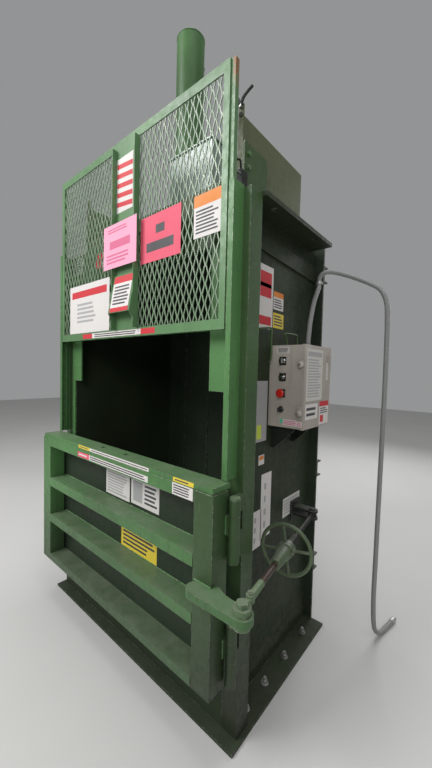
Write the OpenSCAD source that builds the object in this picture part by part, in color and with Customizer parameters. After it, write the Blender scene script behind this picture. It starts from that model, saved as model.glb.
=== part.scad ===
// Vertical recycling baler with a raised mesh gate, a shelved bale door and a screw latch.
// X runs to the operator's right, Y to the rear and Z up. The origin is on the floor,
// midway between the two front posts and in the plane of their front faces.

/* [Posts and base] */
// Width over the two front posts
body_w = 1435; // [1380:5:1480]
// Side of the square post tube
post_s = 76; // [70:1:84]
// Wall of the post tube
post_wall = 6; // [4:0.5:8]
// Height of the posts
post_h = 2148; // [2120:1:2180]
// Thickness of the base flange
base_t = 12; // [8:1:16]
// How far the base flange stands out past the posts
base_over = 18; // [10:1:30]
// How far the base flange stands out in front
base_front = 52; // [40:1:70]
// Height of the rail along the foot of each side wall
base_rail_h = 60; // [40:1:80]
// Radius of an anchor bolt
anchor_r = 8; // [6:0.5:10]

/* [Chamber] */
// How far each side of the chamber stands in from the posts' outer faces
wall_set = 108; // [104:1:122]
// Depth from the posts' front faces to the back wall
chamber_d = 800; // [760:5:860]
// Thickness of the side walls
wall_t = 6; // [5:0.5:8]
// Thickness of the back wall
back_t = 12; // [8:1:16]
// How far the back wall stands out past the side walls
back_over = 52; // [40:1:60]
// Height of the back wall
back_h = 2178; // [2165:1:2200]
// Top of the chamber floor
floor_z = 270; // [240:1:274]
// Thickness of the chamber floor and of the jamb plates
floor_t = 8; // [6:1:12]
// Height of the wide part of each jamb above the floor
jamb_z = 1380; // [1300:5:1450]
// Width of the wide part of each jamb
jamb_w = 110; // [90:1:130]
// Underside of the front header
header_z = 1966; // [1950:1:1990]
// Thickness of the roof plate
roof_t = 19; // [12:1:25]
// Radius of a lifting hole in the roof plate
lift_r = 14; // [10:1:16]

/* [Upper structure] */
// Height of the upper side panels above the roof plate
panel_h = 330; // [300:5:380]
// Depth of the upper side panels
panel_d = 530; // [500:5:600]
// Outer radius of the press cylinder
cyl_r = 80; // [75:1:90]
// Wall of the press cylinder
cyl_wall = 10; // [8:1:14]
// Height of the top of the cylinder tube
cyl_top = 3360; // [3330:5:3450]
// Distance of the cylinder behind the front plane
cyl_y = 375; // [350:5:400]
// Radius of the piston rod
rod_r = 45; // [38:1:50]
// Travel of the platen
platen_travel = 1050; // [900:10:1100]

/* [Gate] */
// How far each side of the gate frame stands in from the posts' outer faces
gate_set = 63; // [61:1:70]
// Height of the gate frame
gate_h = 965; // [930:5:1000]
// Underside of the raised gate
gate_z = 1620; // [1600:1:1640]
// Depth of the gate frame
gate_d = 28; // [24:1:32]
// Width of the gate's stiles
gate_stile = 28; // [24:1:40]
// Height of the gate's top and bottom rails
gate_rail = 40; // [34:1:48]
// Long pitch of the mesh diamonds
mesh_long = 76; // [66:2:96]
// Short pitch of the mesh diamonds
mesh_short = 34; // [32:1:50]
// Width of a mesh strand
strand_w = 5; // [4:0.5:7]
// Thickness of the mesh
mesh_t = 4; // [3:0.5:6]
// Width of the channel up the middle of the gate
strip_w = 186; // [160:2:220]

/* [Door] */
// Underside of the door
door_z = 275; // [265:1:290]
// Top of the door
door_top = 1050; // [1040:1:1052]
// Depth of the door's shelves
shelf_d = 94; // [84:1:104]
// Thickness of the door plates
plate_t = 8; // [6:0.5:10]
// Thickness of the bar along the door's top
top_bar_t = 20; // [16:1:24]
// Height of the shelves' turned-down front lips
lip_h = 45; // [35:1:52]
// Height of the upper shelf's top
shelf_1_z = 787; // [770:1:800]
// Height of the lower shelf's top
shelf_2_z = 561; // [545:1:575]

/* [Latch] */
// Width of the latch bar and of the door's hinge stile
bar_w = 92; // [85:1:96]
// Depth of the latch bar and of the door's hinge stile
bar_d = 85; // [80:1:86]
// Outer radius of a hinge knuckle
knuckle_r = 21.5; // [19:0.5:24]
// Radius of a hinge pin
hinge_pin_r = 12.5; // [10:0.5:14]
// Thickness of the lever plate
lever_t = 28; // [20:1:30]
// Radius of the bolt at the end of the lever
bolt_r = 15; // [12:0.5:16]
// Radius of the screw
screw_r = 12; // [10:0.5:13]
// Radius of the handwheel to the middle of its rim
wheel_r = 107; // [100:1:125]
// Radius of the handwheel's rim section
rim_r = 8; // [6:0.5:10]

/* [Control box] */
// Width of the control box, out from the wall
box_w = 178; // [160:1:200]
// Depth of the control box along the wall
box_d = 290; // [270:5:300]
// Height of the control box
box_h = 377; // [360:1:400]
// Underside of the control box
box_z = 1211; // [1200:1:1230]
// Distance of the control box behind the front plane
box_y = 335; // [325:1:350]
// Radius of a push button's bezel
bezel_r = 15; // [13:0.5:17]

/* [Hidden] */

// Smoothness of small and large rounds
fn_small = 32;
fn_big = 64;
// Gap between pieces that move past each other
gap = 1;
// Gap on each side of the gate in its guides, and round the rim of the box cover
slide_gap = 0.5;
cover_gap = 0.3;
// Running clearance in a bore
run = 0.05;
// Hair between neighbours that lie side by side in one sheet
hair = 0.02;
// Small overlap that keeps cuts clean
eps = 1;

green = [0.36, 0.55, 0.36];
dark_green = [0.2, 0.29, 0.19];
grey = [0.55, 0.56, 0.55];
steel = [0.62, 0.62, 0.6];

post_in = body_w / 2 - post_s;
chamber_w = body_w - 2 * wall_set;
wall_x = chamber_w / 2 + wall_t;
back_y = chamber_d + back_t;
roof_z = post_h - 11;
roof_top = roof_z + roof_t;
roof_over = body_w / 2 + base_over;
roof_side_d = chamber_d - 65;
lift_y = [196, 587];
panel_y = 60;
panel_front = 16;
panel_flange = 25;
panel_rise = 45;
gusset_d = 172;
gusset_h = 230;
gusset_t = 10;
gusset_round = 24;
gusset_bolt_z = [133, 187];
gusset_bolt_y = 26;
gusset_bolt_af = 17;
flange_bolt_af = 24;
bolt_shank_r = 6;
bolt_play = 0.2;
header_d = 38;
ledge_top = 74;
ledge_front_h = 54;
ledge_rear_h = 88;
ledge_t = 10;
ledge_from = 90;
upstand_h = 110;
upstand_t = 8;
joist_h = 70;
joist_t = 10;
joist_count = 3;
rail_t = 8;
floor_rim = 60;
anchor_share = [0.156, 0.349, 0.58, 0.839];
anchor_out = 60;
anchor_stand = 28;
washer_t = 3;
back_rib_share = [0.3, 0.69];
back_rib = [12, 6];
back_rib_h = 1640;
channel_h = 90;
channel_d = 50;
channel_t = 8;
channel_low = 30;
channel_high = 108;
channel_count = 4;
lift_in = 35;
rod_room = 12;
gate_w = body_w - 2 * gate_set;
guide_slot = 22;
guide_lip = 23;
guide_wall = 6;
guide_y = 62;
guide_foot = 5;
guide_x = gate_w / 2 + 7;
tongue_t = guide_slot - 2 * slide_gap;
tongue_w = 20;
slot_y = guide_wall - guide_y;

// Press cylinder, flange and power unit
flange_s = [170, 270];
flange_t = 25;
gland_h = 24;
bore_r = cyl_r - cyl_wall;
cyl_z = roof_top + flange_t;
dome_h = 22;
bead_r = 1.5;
port_r = 18;
port_out = 22;
port_low = 90;
flange_bolt = [62, 112];
platen_h = 150;
platen_z = header_z + 9;
platen_gap = 9;
platen_plate = 20;
platen_rib = 10;
platen_boss = [260, 180, 14];
platen_rear_gap = 6;
rod_top = cyl_top - 40;
rod_foot = [20, 4];
piston_h = 60;
tank = [290, chamber_d - 390, 383];
tank_pos = [95, 150];
tank_wall = 4;
tank_lid = [8, 6];
cap_pos = [70, 90];
cap_neck = [26, 14];
cap_head = [34, 30];
motor_r = 88;
motor_l = 280;
motor_pos = [75, chamber_d - 120, 125];
motor_fan = [80, 50];
motor_foot = [40, 160];
motor_foot_x = [30, 210];
motor_seat = 30;
terminal_box = [110, 90, 62];
terminal_at = [90, -45, -12];
fin_out = 7;
fin_t = 8;
fin_count = 6;
fin_step = 38;
pump_l = 120;
pump_r = 52;
valve_s = [100, 120, 60];
valve_from = -90;
spool_x = [-70, -30];
spool = [17, 60];

// Gate details
frame_t = 4;
mesh_lap = 10;
gate_front = -guide_y - 1;
strip_x = 30;
strip_flange = 26;
strip_t = 4;
handle_h = 190;
handle_z = 75;
handle_out = 44;
handle_in = 10;
handle_fold = 16;

// Door and latch places
door_half = body_w / 2 - 17.5;
door_gap = 3.5;
door_front = -154;
skin_y = door_front + shelf_d;
door_end = door_half - bar_w - door_gap;
pan_in = 10;
return_d = 46;
top_lip_h = 49;
top_bar_back = 4;
top_bolt_x = [-110, 88];
top_bolt = [20, 7];
top_bolt_y = 50;
hinge_x = body_w / 2 + 11.5;
hinge_y = -66;
hinge_low = [295, 530];
hinge_high = [766, 1000];
heel_r = 32;
heel_in = 42;
elbow_out = [12, 4];
leaf_out = [22, 8];
leaf_in = 17;
web_front = 16;
web_t = 13;
web_l = 16;
lever_r = 38;
elbow_r = 22;
waist_r = 140;
end_knuckle = 60;
mid_knuckle = 75;
pin_head = 8;
bar_top = door_top - top_bar_t - 2;
bar_wall = 6;

// Lever, screw and handwheel, laid out along the line from the rear pin to the lever bolt
screw_z = 712;
bolt_from_hinge = [119, -108];
pin_from_hinge = [-7, 706];
lever_bolt = [hinge_x, hinge_y] + bolt_from_hinge;
rear_pin = [hinge_x, hinge_y] + pin_from_hinge;
screw_run = norm(lever_bolt - rear_pin);
screw_yaw = atan2(lever_bolt[1] - rear_pin[1], lever_bolt[0] - rear_pin[0]);
eye_t = 16;
eye_r = 30;
eye_play = 2.5;
bolt_washer = [31, 5];
bolt_ring = [29, 16];
bolt_tail = 20;
bolt_head = [36, 14];
lever_z = screw_z - eye_t / 2 - gap - bolt_washer[1] - lever_t;
rear_pin_r = 10;
rear_eye_t = 24;
rear_eye_r = 22;
link_r = 11;
link_root = 6;
ear_t = 12;
ear_r = 28;
bracket = [10, 100, 104];
pin_tail = 10;
rear_pin_head = [16, 7];
sleeve_r = 23;
sleeve_from = 305;
sleeve_to = 392;
journal_r = 16;
journal_from = 330;
hub_from = 395;
hub_to = 433;
hub_r = 36;
nut_to = 545;
nut_r = 22;
wheel_at = 414;
spoke_r = 6;
spoke_turn = 8;
screw_from = 400;
socket_from = 672;
socket_r = 14;
clevis_in = 60;
clevis_r = 15;
clevis_t = 26;
clevis_pin = [6.5, 46];
clevis_head = [19, 8];
neck_w = 18;
neck_t = 12;

// Control box details
box_wall = 2.5;
cover_t = 14;
cover_lap = 2;
cover_skin_in = 1;
clip_low = [80, box_h - 95];
clip_s = [27, 7, 26];
clip_in = 16;
clip_notch = [9, 3, 13];
hasp_low = 78;
hasp_in = 40;
hasp_s = [9, 5, 44];
hasp_rim = [2, 8];
barrel_r = 5;
barrel_h = 22;
barrel_pin_r = 2.5;
barrel_at = [40, box_h - 110];
barrel_out = [-5.5, 8];
leaf_t = 3;
leaf_foot = [34, 9];
plate_below = [120, 16, 22, 110];
plate_below_y = [30, box_d - 60];
plate_below_t = 6;
button_out = 68;
button_x = wall_x + button_out;
button_low = [305, 231, 157, 83];
button_z = [for (z = button_low) box_z + z];
button_hole_r = 11;
bezel_t = 5;
bezel_neck = [10.9, 22];
stem_bore_r = 8;
stem_r = 7.9;
stem_l = 22;
operator_gap = 0.5;
switch_s = [40, 40, 80];
switch_in = 16;
switch_y = 6;
plunger_x = 17.5;
plunger_up = 62;
plunger_r = 4;
plunger_out = 27;
plunger_back = 24;

// Route of the conduit: up from the box, measured from the foot of its wall face and its underside
conduit_r = 12.5;
conduit_skin = 0.3;
box_route = [[84.5, 225, 395], [83.5, 228, 429], [78.5, 255, 519], [66.5, 315, 619]];
// Then to its clip, out in a loop and down to the floor, measured from the side wall and the back wall
wall_route = [[48.5, -70, 1905], [38.5, -24, 1946], [36.5, -16, 1972], [38.5, -16, 1998], [54.5, -17, 2018],
    [84.5, -6, 2026], [126.5, 24, 2020], [204.5, 44, 1988], [287.5, 52, 1944], [339.5, 56, 1905],
        [368.5, 58, 1840],
    [376.5, 60, 1740], [378.5, 62, 1560], [378.5, 64, 1340], [376.5, 66, 1120], [374.5, 68, 900],
        [372.5, 70, 680],
    [370.5, 72, 460], [368.5, 76, 260], [370.5, 86, 130], [376.5, 112, 52], [390.5, 162, 17],
        [406.5, 232, 14],
    [418.5, 292, 14]];
conduit_path = concat([for (p = box_route) p + [wall_x, box_y, box_z]],
    [for (p = wall_route) p + [wall_x, chamber_d, 0]]);
conduit_sides = 10;
// The clip holds the conduit at this point of its second stretch
clip_at = wall_route[2] + [wall_x, chamber_d, 0];
clip_wall = 3;
clip_h = 16;
clip_foot = [40, 4];
clip_foot_x = -25;
clip_stem = 12;

// A square or oblong tube standing on its end
module tube(size, wall, h) {
    difference() {
        cube([size[0], size[1], h]);
        translate([wall, wall, -eps]) cube([size[0] - 2 * wall, size[1] - 2 * wall, h - wall + eps]);
    }
}

// A hexagonal bolt head or nut
module hex(across, h) {
    cylinder(d = across / cos(30), h = h, $fn = 6);
}

// Both mirror images of what is drawn for the right side
module both_sides() {
    children();
    mirror([1, 0, 0]) children();
}

module left() {
    mirror([1, 0, 0]) children();
}

// Moves to the rear pin, with X along the screw towards the lever bolt
module on_screw() {
    translate([rear_pin[0], rear_pin[1], screw_z]) rotate([0, 0, screw_yaw]) children();
}

// A bar along the screw, from one distance to another
module along(from, to, r1, r2) {
    translate([from, 0, 0]) rotate([0, 90, 0]) cylinder(r1 = r1, r2 = r2, h = to - from, $fn = fn_big);
}

module base_frame() {
    flange_x = body_w / 2 + base_over;
    color(green) difference() {
        union() {
            translate([-flange_x, -base_front, 0]) cube([2 * flange_x, back_y + base_front, base_t]);
            both_sides() translate([wall_x, post_s, base_t])
                cube([rail_t, chamber_d - post_s, base_rail_h - base_t]);
            translate([-post_in, 0, base_t]) cube([2 * post_in, floor_t, floor_z - floor_t - base_t]);
        }
        translate([-chamber_w / 2, floor_rim, -eps])
            cube([chamber_w, chamber_d - 2 * floor_rim, base_t + 2 * eps]);
        both_sides() anchor_places() translate([0, 0, -eps])
            cylinder(r = anchor_r + gap, h = base_t + 2 * eps, $fn = fn_small);
    }
}

module anchor_places() {
    for (share = anchor_share) translate([wall_x + anchor_out, share * chamber_d, 0]) children();
}

module anchor_bolts() {
    color(steel) both_sides() anchor_places() {
        cylinder(r = anchor_r, h = base_t + anchor_stand, $fn = fn_small);
        translate([0, 0, base_t]) cylinder(r = 2.2 * anchor_r, h = washer_t, $fn = fn_small);
        translate([0, 0, base_t + washer_t]) hex(3 * anchor_r, 1.6 * anchor_r);
    }
}

module chamber_floor() {
    color(dark_green) {
        translate([-chamber_w / 2, 0, floor_z - floor_t]) cube([chamber_w, chamber_d, floor_t]);
        for (i = [1 : joist_count])
            translate([-chamber_w / 2, i * chamber_d / (joist_count + 1), floor_z - floor_t - joist_h])
                cube([chamber_w, joist_t, joist_h]);
    }
}

module post_right() {
    color(green) translate([post_in, 0, base_t]) tube([post_s, post_s], post_wall, post_h - base_t);
}

module post_left() {
    left() post_right();
}

module side_wall_right() {
    color(dark_green) {
        translate([chamber_w / 2, floor_t, base_t]) cube([wall_t, chamber_d - floor_t, roof_z - base_t]);
        // The ledge under the roof deepens towards the back
        translate([wall_x, 0, roof_z - ledge_top]) rotate([90, 0, 90]) linear_extrude(ledge_t) polygon([
            [ledge_from, 0], [chamber_d, 0], [chamber_d, -ledge_rear_h], [ledge_from, -ledge_front_h]]);
    }
}

module side_wall_left() {
    left() side_wall_right();
}

module back_wall() {
    half = wall_x + back_over;
    color(dark_green) {
        translate([-half, chamber_d, base_t]) cube([2 * half, back_t, back_h - base_t]);
        both_sides() for (share = back_rib_share)
            translate([share * chamber_w / 2 - back_rib[0] / 2, chamber_d - back_rib[1], floor_z])
                cube([back_rib[0], back_rib[1], back_rib_h]);
        low = floor_z + channel_low;
        step = (back_h - channel_high - channel_h - low) / (channel_count - 1);
        for (i = [0 : channel_count - 1]) translate([-half, back_y, low + i * step]) rear_channel(2 * half);
    }
}

// An outward-facing channel across the back wall
module rear_channel(l) {
    difference() {
        cube([l, channel_d, channel_h]);
        translate([-eps, channel_t, channel_t]) cube([l + 2 * eps, channel_d, channel_h - 2 * channel_t]);
    }
}

module header() {
    color(green) {
        translate([-post_in, 0, header_z]) cube([2 * post_in, post_wall, post_h - header_z]);
        for (z = [header_z, post_h - post_wall]) translate([-chamber_w / 2, 0, z])
            cube([chamber_w, header_d, post_wall]);
    }
}

module jamb_right() {
    strip_in = chamber_w / 2;
    wide_in = post_in - jamb_w;
    outline = [[post_in, floor_z], [post_in, header_z], [wide_in, header_z], [wide_in, jamb_z],
               [strip_in, jamb_z], [strip_in, floor_z]];
    color(green) translate([0, floor_t, 0]) rotate([90, 0, 0]) linear_extrude(floor_t) polygon(outline);
}

module jamb_left() {
    left() jamb_right();
}

// A channel whose slot faces the gate and holds its tongue
module guide_right() {
    foot = door_top + guide_foot;
    color(green) translate([guide_x, -guide_y, foot]) difference() {
        cube([guide_lip, guide_y, roof_top - foot]);
        translate([-eps, guide_wall, -eps])
            cube([guide_lip - guide_wall + eps, guide_slot, roof_top - foot + 2 * eps]);
        translate([-eps, 2 * guide_wall + guide_slot, -eps])
            cube([guide_lip - guide_wall + eps, guide_y, roof_top - foot + 2 * eps]);
    }
}

module guide_left() {
    left() guide_right();
}

module roof_plate() {
    color(green) difference() {
        union() {
            translate([-roof_over, post_s, roof_z]) cube([2 * roof_over, roof_side_d - post_s, roof_t]);
            translate([-chamber_w / 2, roof_side_d, roof_z])
                cube([chamber_w, chamber_d - roof_side_d, roof_t]);
        }
        translate([0, cyl_y, roof_z - eps])
            cylinder(r = rod_r + rod_room, h = roof_t + 2 * eps, $fn = fn_big);
        both_sides() for (y = lift_y) translate([roof_over - lift_in, y, roof_z - eps])
            cylinder(r = lift_r, h = roof_t + 2 * eps, $fn = fn_small);
    }
}

module upper_panel_right() {
    color(green) translate([0, 0, roof_top]) {
        translate([wall_x - wall_t, panel_y + panel_front + wall_t, 0])
            cube([wall_t, panel_d - panel_front - wall_t, panel_h]);
        translate([wall_x - panel_flange, panel_y + panel_front, 0])
            cube([panel_flange, wall_t, panel_h + panel_rise]);
        // Half of the low plate between the two panels, behind the header
        translate([0, post_s, 0]) cube([wall_x - panel_flange - hair, upstand_t, upstand_h]);
    }
}

module upper_panel_left() {
    left() upper_panel_right();
}

// A plate with one round corner, bolted to the upper panel above the post
module gusset_right() {
    corner = [gusset_d - gusset_round, gusset_h - gusset_round];
    color(green) translate([wall_x, panel_y + panel_front, roof_top]) rotate([90, 0, 90])
        linear_extrude(gusset_t)
        difference() {
            polygon(concat([[gusset_d, 0]], arc(corner, gusset_round, 0, 90), [[0, gusset_h], [0, 0]]));
            for (z = gusset_bolt_z) translate([gusset_bolt_y, z])
                circle(r = bolt_shank_r + bolt_play, $fn = fn_small);
        }
}

module gusset_left() {
    left() gusset_right();
}

// One hexagonal bolt with its washer, head up, its seat at zero
module hex_bolt(shank, across) {
    translate([0, 0, -shank]) cylinder(r = bolt_shank_r, h = shank, $fn = fn_small);
    cylinder(r = 0.62 * across, h = washer_t, $fn = fn_small);
    translate([0, 0, washer_t]) hex(across, 0.4 * across);
}

module hex_bolts() {
    color(steel) {
        both_sides() for (z = gusset_bolt_z)
            translate([wall_x + gusset_t, panel_y + panel_front + gusset_bolt_y, roof_top + z])
                rotate([0, 90, 0])
                hex_bolt(gusset_t, gusset_bolt_af);
        for (sx = [-1, 1]) for (sy = [-1, 1])
            translate([sx * flange_bolt[0], cyl_y + sy * flange_bolt[1], cyl_z])
                hex_bolt(flange_t, flange_bolt_af);
    }
}

module press_cylinder() {
    color(green) translate([0, cyl_y, 0]) difference() {
        union() {
            translate([0, 0, cyl_z]) cylinder(r = cyl_r, h = cyl_top - cyl_z, $fn = fn_big);
            translate([0, 0, cyl_top - 2 * bead_r])
                cylinder(r = cyl_r + bead_r, h = 2 * bead_r, $fn = fn_big);
            translate([0, 0, cyl_top]) dome(cyl_r, dome_h);
            translate([0, 0, cyl_top - port_low]) rotate([-90, 0, 0])
                cylinder(r = port_r, h = cyl_r + port_out, $fn = fn_small);
        }
        translate([0, 0, cyl_z - eps]) cylinder(r = bore_r, h = cyl_top - cyl_z + eps, $fn = fn_big);
    }
}

// A low domed end, as a solid of revolution
module dome(r, h) {
    steps = 10;
    rotate_extrude($fn = fn_big)
        polygon(concat([[0, 0]],
            [for (i = [0 : steps]) [r * cos(90 * i / steps), h * sin(90 * i / steps)]]));
}

module cylinder_flange() {
    color(green) translate([0, cyl_y, 0]) difference() {
        union() {
            translate([-flange_s[0] / 2, -flange_s[1] / 2, roof_top])
                cube([flange_s[0], flange_s[1], flange_t]);
            translate([0, 0, cyl_z]) cylinder(r = bore_r - run, h = gland_h, $fn = fn_big);
        }
        translate([0, 0, roof_top - eps])
            cylinder(r = rod_r + run, h = flange_t + gland_h + 2 * eps, $fn = fn_big);
        for (sx = [-1, 1]) for (sy = [-1, 1])
            translate([sx * flange_bolt[0], sy * flange_bolt[1], roof_top - eps])
            cylinder(r = bolt_shank_r + bolt_play, h = flange_t + 2 * eps, $fn = fn_small);
    }
}

module oil_tank() {
    color(grey) translate([tank_pos[0], tank_pos[1], roof_top]) difference() {
        union() {
            cube(tank);
            translate([-tank_lid[0], -tank_lid[0], tank[2]])
                cube([tank[0] + 2 * tank_lid[0], tank[1] + 2 * tank_lid[0], tank_lid[1]]);
        }
        translate([tank_wall, tank_wall, tank_wall])
            cube([tank[0] - 2 * tank_wall, tank[1] - 2 * tank_wall, tank[2] - tank_wall]);
    }
}

module filler_cap() {
    color(steel) translate([tank_pos[0] + cap_pos[0], tank_pos[1] + cap_pos[1],
        roof_top + tank[2] + tank_lid[1]]) {
        cylinder(r = cap_neck[0], h = cap_neck[1], $fn = fn_small);
        translate([0, 0, cap_neck[1]]) cylinder(r = cap_head[0], h = cap_head[1], $fn = fn_small);
    }
}

module pump_motor() {
    color(grey) translate([motor_pos[0], motor_pos[1], roof_top]) {
        translate([0, 0, motor_pos[2]]) rotate([0, 90, 0]) {
            cylinder(r = motor_r, h = motor_l, $fn = fn_big);
            translate([0, 0, motor_l]) cylinder(r = motor_fan[0], h = motor_fan[1], $fn = fn_big);
        }
        for (x = motor_foot_x) translate([x, -motor_foot[1] / 2, 0])
            cube([motor_foot[0], motor_foot[1], motor_pos[2] - motor_r + motor_seat]);
        translate([0, 0, motor_pos[2] + motor_r]) translate(terminal_at) cube(terminal_box);
        for (i = [1 : fin_count]) translate([fin_step * i, 0, motor_pos[2]]) rotate([0, 90, 0])
            cylinder(r = motor_r + fin_out, h = fin_t, $fn = fn_big);
    }
}

module valve_block() {
    color(steel) translate([motor_pos[0] - pump_l, motor_pos[1], roof_top]) {
        translate([0, 0, motor_pos[2]]) rotate([0, 90, 0]) cylinder(r = pump_r, h = pump_l, $fn = fn_small);
        translate([valve_from, -valve_s[1] / 2, 0])
            cube([valve_s[0], valve_s[1], motor_pos[2] + valve_s[2]]);
        for (x = spool_x) translate([x, 0, motor_pos[2] + valve_s[2]])
            cylinder(r = spool[0], h = spool[1], $fn = fn_small);
    }
}

// The fixed knuckles of one hinge, with the blocks that carry them on the post
module fixed_knuckles(span) {
    for (z = [span[0], span[1] - end_knuckle]) difference() {
        h = z == span[0] ? span[1] - span[0] - end_knuckle - mid_knuckle - gap : end_knuckle;
        union() {
            translate([hinge_x, hinge_y, z]) cylinder(r = knuckle_r, h = h, $fn = fn_big);
            translate([body_w / 2 - leaf_in, hinge_y + leaf_out[1], z])
                cube([leaf_out[0], -hinge_y - leaf_out[1], h]);
        }
        translate([hinge_x, hinge_y, z - eps]) cylinder(r = hinge_pin_r, h = h + 2 * eps, $fn = fn_big);
    }
}

// The moving knuckle of one hinge, with the strip that joins it to its bar
module moving_knuckle(span) {
    z = span[1] - end_knuckle - mid_knuckle;
    difference() {
        union() {
            translate([hinge_x, hinge_y, z]) cylinder(r = knuckle_r, h = mid_knuckle - gap, $fn = fn_big);
            translate([door_half - eps, hinge_y - web_front, z]) cube([web_l, web_t, mid_knuckle - gap]);
        }
        translate([hinge_x, hinge_y, z - eps])
            cylinder(r = hinge_pin_r + run, h = mid_knuckle + 2 * eps, $fn = fn_big);
    }
}

module hinge_brackets() {
    color(green) both_sides() {
        fixed_knuckles(hinge_low);
        fixed_knuckles(hinge_high);
    }
}

module hinge_pins() {
    color(steel) both_sides() for (span = [hinge_low, hinge_high]) translate([hinge_x, hinge_y, 0]) {
        translate([0, 0, span[0]]) cylinder(r = hinge_pin_r, h = span[1] - span[0], $fn = fn_big);
        translate([0, 0, span[1]]) cylinder(r = knuckle_r - 2, h = pin_head, $fn = fn_small);
    }
}

module screw_bracket() {
    color(dark_green) difference() {
        union() {
            translate([wall_x, rear_pin[1] - bracket[1] / 2, screw_z - bracket[2] / 2]) cube(bracket);
            for (z = [screw_z + rear_eye_t / 2 + gap / 2, screw_z - rear_eye_t / 2 - gap / 2 - ear_t])
                translate([0, 0, z]) linear_extrude(ear_t) {
                    translate([wall_x + eps, rear_pin[1] - ear_r])
                        square([rear_pin[0] - wall_x, 2 * ear_r]);
                    translate(rear_pin) circle(r = ear_r, $fn = fn_big);
                }
        }
        translate([rear_pin[0], rear_pin[1], screw_z - bracket[2]])
            cylinder(r = rear_pin_r, h = 2 * bracket[2], $fn = fn_big);
    }
}

module screw_pin() {
    half = rear_eye_t / 2 + gap / 2 + ear_t;
    color(steel) translate([rear_pin[0], rear_pin[1], screw_z]) {
        translate([0, 0, -half - pin_tail]) cylinder(r = rear_pin_r, h = 2 * half + pin_tail, $fn = fn_big);
        translate([0, 0, half]) cylinder(r = rear_pin_head[0], h = rear_pin_head[1], $fn = fn_small);
    }
}

module control_box() {
    color(grey) translate([wall_x, box_y, box_z]) {
        difference() {
            cube([box_w - cover_t - cover_gap, box_d, box_h]);
            translate([box_wall, box_wall, box_wall])
                cube([box_w, box_d - 2 * box_wall, box_h - 2 * box_wall]);
            for (z = button_low) translate([button_out, -eps, z]) rotate([-90, 0, 0])
                cylinder(r = button_hole_r, h = box_wall + 2 * eps, $fn = fn_small);
        }
        for (z = barrel_at) translate([box_w, box_d, z]) box_barrels();
    }
}

// The fixed half of one cover hinge: two barrels, the pin through them and the leaf to the box
module box_barrels() {
    step = barrel_h + gap;
    leaf_to = barrel_out[1] + leaf_t / 2;
    translate([barrel_out[0], barrel_out[1], 0]) {
        for (i = [0, 2]) translate([0, 0, i * step]) cylinder(r = barrel_r, h = barrel_h, $fn = fn_small);
        cylinder(r = barrel_pin_r, h = 3 * step - gap, $fn = fn_small);
    }
    for (i = [0, 2]) translate([-leaf_foot[0] - cover_t - gap, 0, i * step]) {
        translate([0, leaf_to - leaf_t, 0])
            cube([leaf_foot[0] + cover_t + gap + barrel_out[0], leaf_t, barrel_h]);
        translate([0, -eps, 0]) cube([leaf_foot[0] - leaf_foot[1], leaf_to + eps, barrel_h]);
    }
}

module box_bracket() {
    reach = plate_below;
    color(dark_green) translate([wall_x, box_y, box_z]) {
        for (y = plate_below_y) translate([0, y, 0]) rotate([90, 0, 0]) translate([0, 0, -plate_below_t])
            linear_extrude(plate_below_t)
                polygon([[0, 0], [reach[0], 0], [reach[0], -reach[1]], [reach[2], -reach[3]],
                    [0, -reach[3]]]);
    }
}

module box_cover() {
    step = barrel_h + gap;
    skin = cover_skin_in;
    color(grey) translate([wall_x + box_w - cover_t, box_y, box_z]) {
        difference() {
            translate([0, -cover_lap, -cover_lap])
                cube([cover_t, box_d + 2 * cover_lap, box_h + 2 * cover_lap]);
            translate([-eps, skin, skin])
                cube([cover_t - box_wall + eps, box_d - 2 * skin, box_h - 2 * skin]);
        }
        for (z = clip_low) translate([-clip_in, -cover_lap - clip_s[1], z]) cover_clip();
        translate([cover_t, box_d - hasp_in, box_h - hasp_low]) hasp();
        for (z = barrel_at) translate([cover_t + barrel_out[0], box_d, z + step]) difference() {
            union() {
                translate([0, barrel_out[1], 0]) cylinder(r = barrel_r, h = barrel_h, $fn = fn_small);
                translate([-leaf_t / 2, cover_lap - eps, 0])
                    cube([leaf_t, barrel_out[1] - cover_lap + eps, barrel_h]);
            }
            translate([0, barrel_out[1], -eps])
                cylinder(r = barrel_pin_r + run, h = barrel_h + 2 * eps, $fn = fn_small);
        }
    }
}

// A clamp on the cover's free edge, its tongue reaching over the box
module cover_clip() {
    difference() {
        cube(clip_s);
        translate([-eps, -eps, (clip_s[2] - clip_notch[2]) / 2]) cube(clip_notch);
    }
}

module hasp() {
    difference() {
        cube(hasp_s);
        translate([hasp_rim[0], -eps, hasp_rim[1]])
            cube([hasp_s[0] - 2 * hasp_rim[0], hasp_s[1] + 2 * eps, hasp_s[2] - 2 * hasp_rim[1]]);
    }
}

// Bezel rings and legend plates of the four operators
module button_bezels() {
    color(steel) for (z = button_z) translate([button_x, box_y, z]) rotate([90, 0, 0]) difference() {
        union() {
            cylinder(r = bezel_r, h = bezel_t, $fn = fn_big);
            translate([0, 0, -box_wall - bezel_neck[1]])
                cylinder(r = bezel_neck[0], h = box_wall + bezel_neck[1] + eps, $fn = fn_small);
        }
        translate([0, 0, -box_wall - bezel_neck[1] - eps])
            cylinder(r = stem_bore_r, h = 2 * bezel_neck[1] + bezel_t, $fn = fn_small);
    }
}

module operator_at(i) {
    translate([button_x, box_y - bezel_t - operator_gap, button_z[i]]) rotate([90, 0, 0]) children();
}

// The stem of an operator, up to a given height above its seat
module stem(rise) {
    translate([0, 0, -stem_l]) cylinder(r = stem_r, h = stem_l + rise, $fn = fn_small);
}

module selector_knob() {
    color([0.12, 0.12, 0.12]) operator_at(0) {
        cylinder(r = 13, h = 8, $fn = fn_small);
        translate([-4, -13, 7]) cube([8, 26, 12]);
        stem(1);
    }
}

module start_button() {
    color([0.12, 0.12, 0.12]) operator_at(1) {
        translate([0, 0, 6]) cylinder(r = 11, h = 5, $fn = fn_small);
        stem(7);
    }
}

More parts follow.
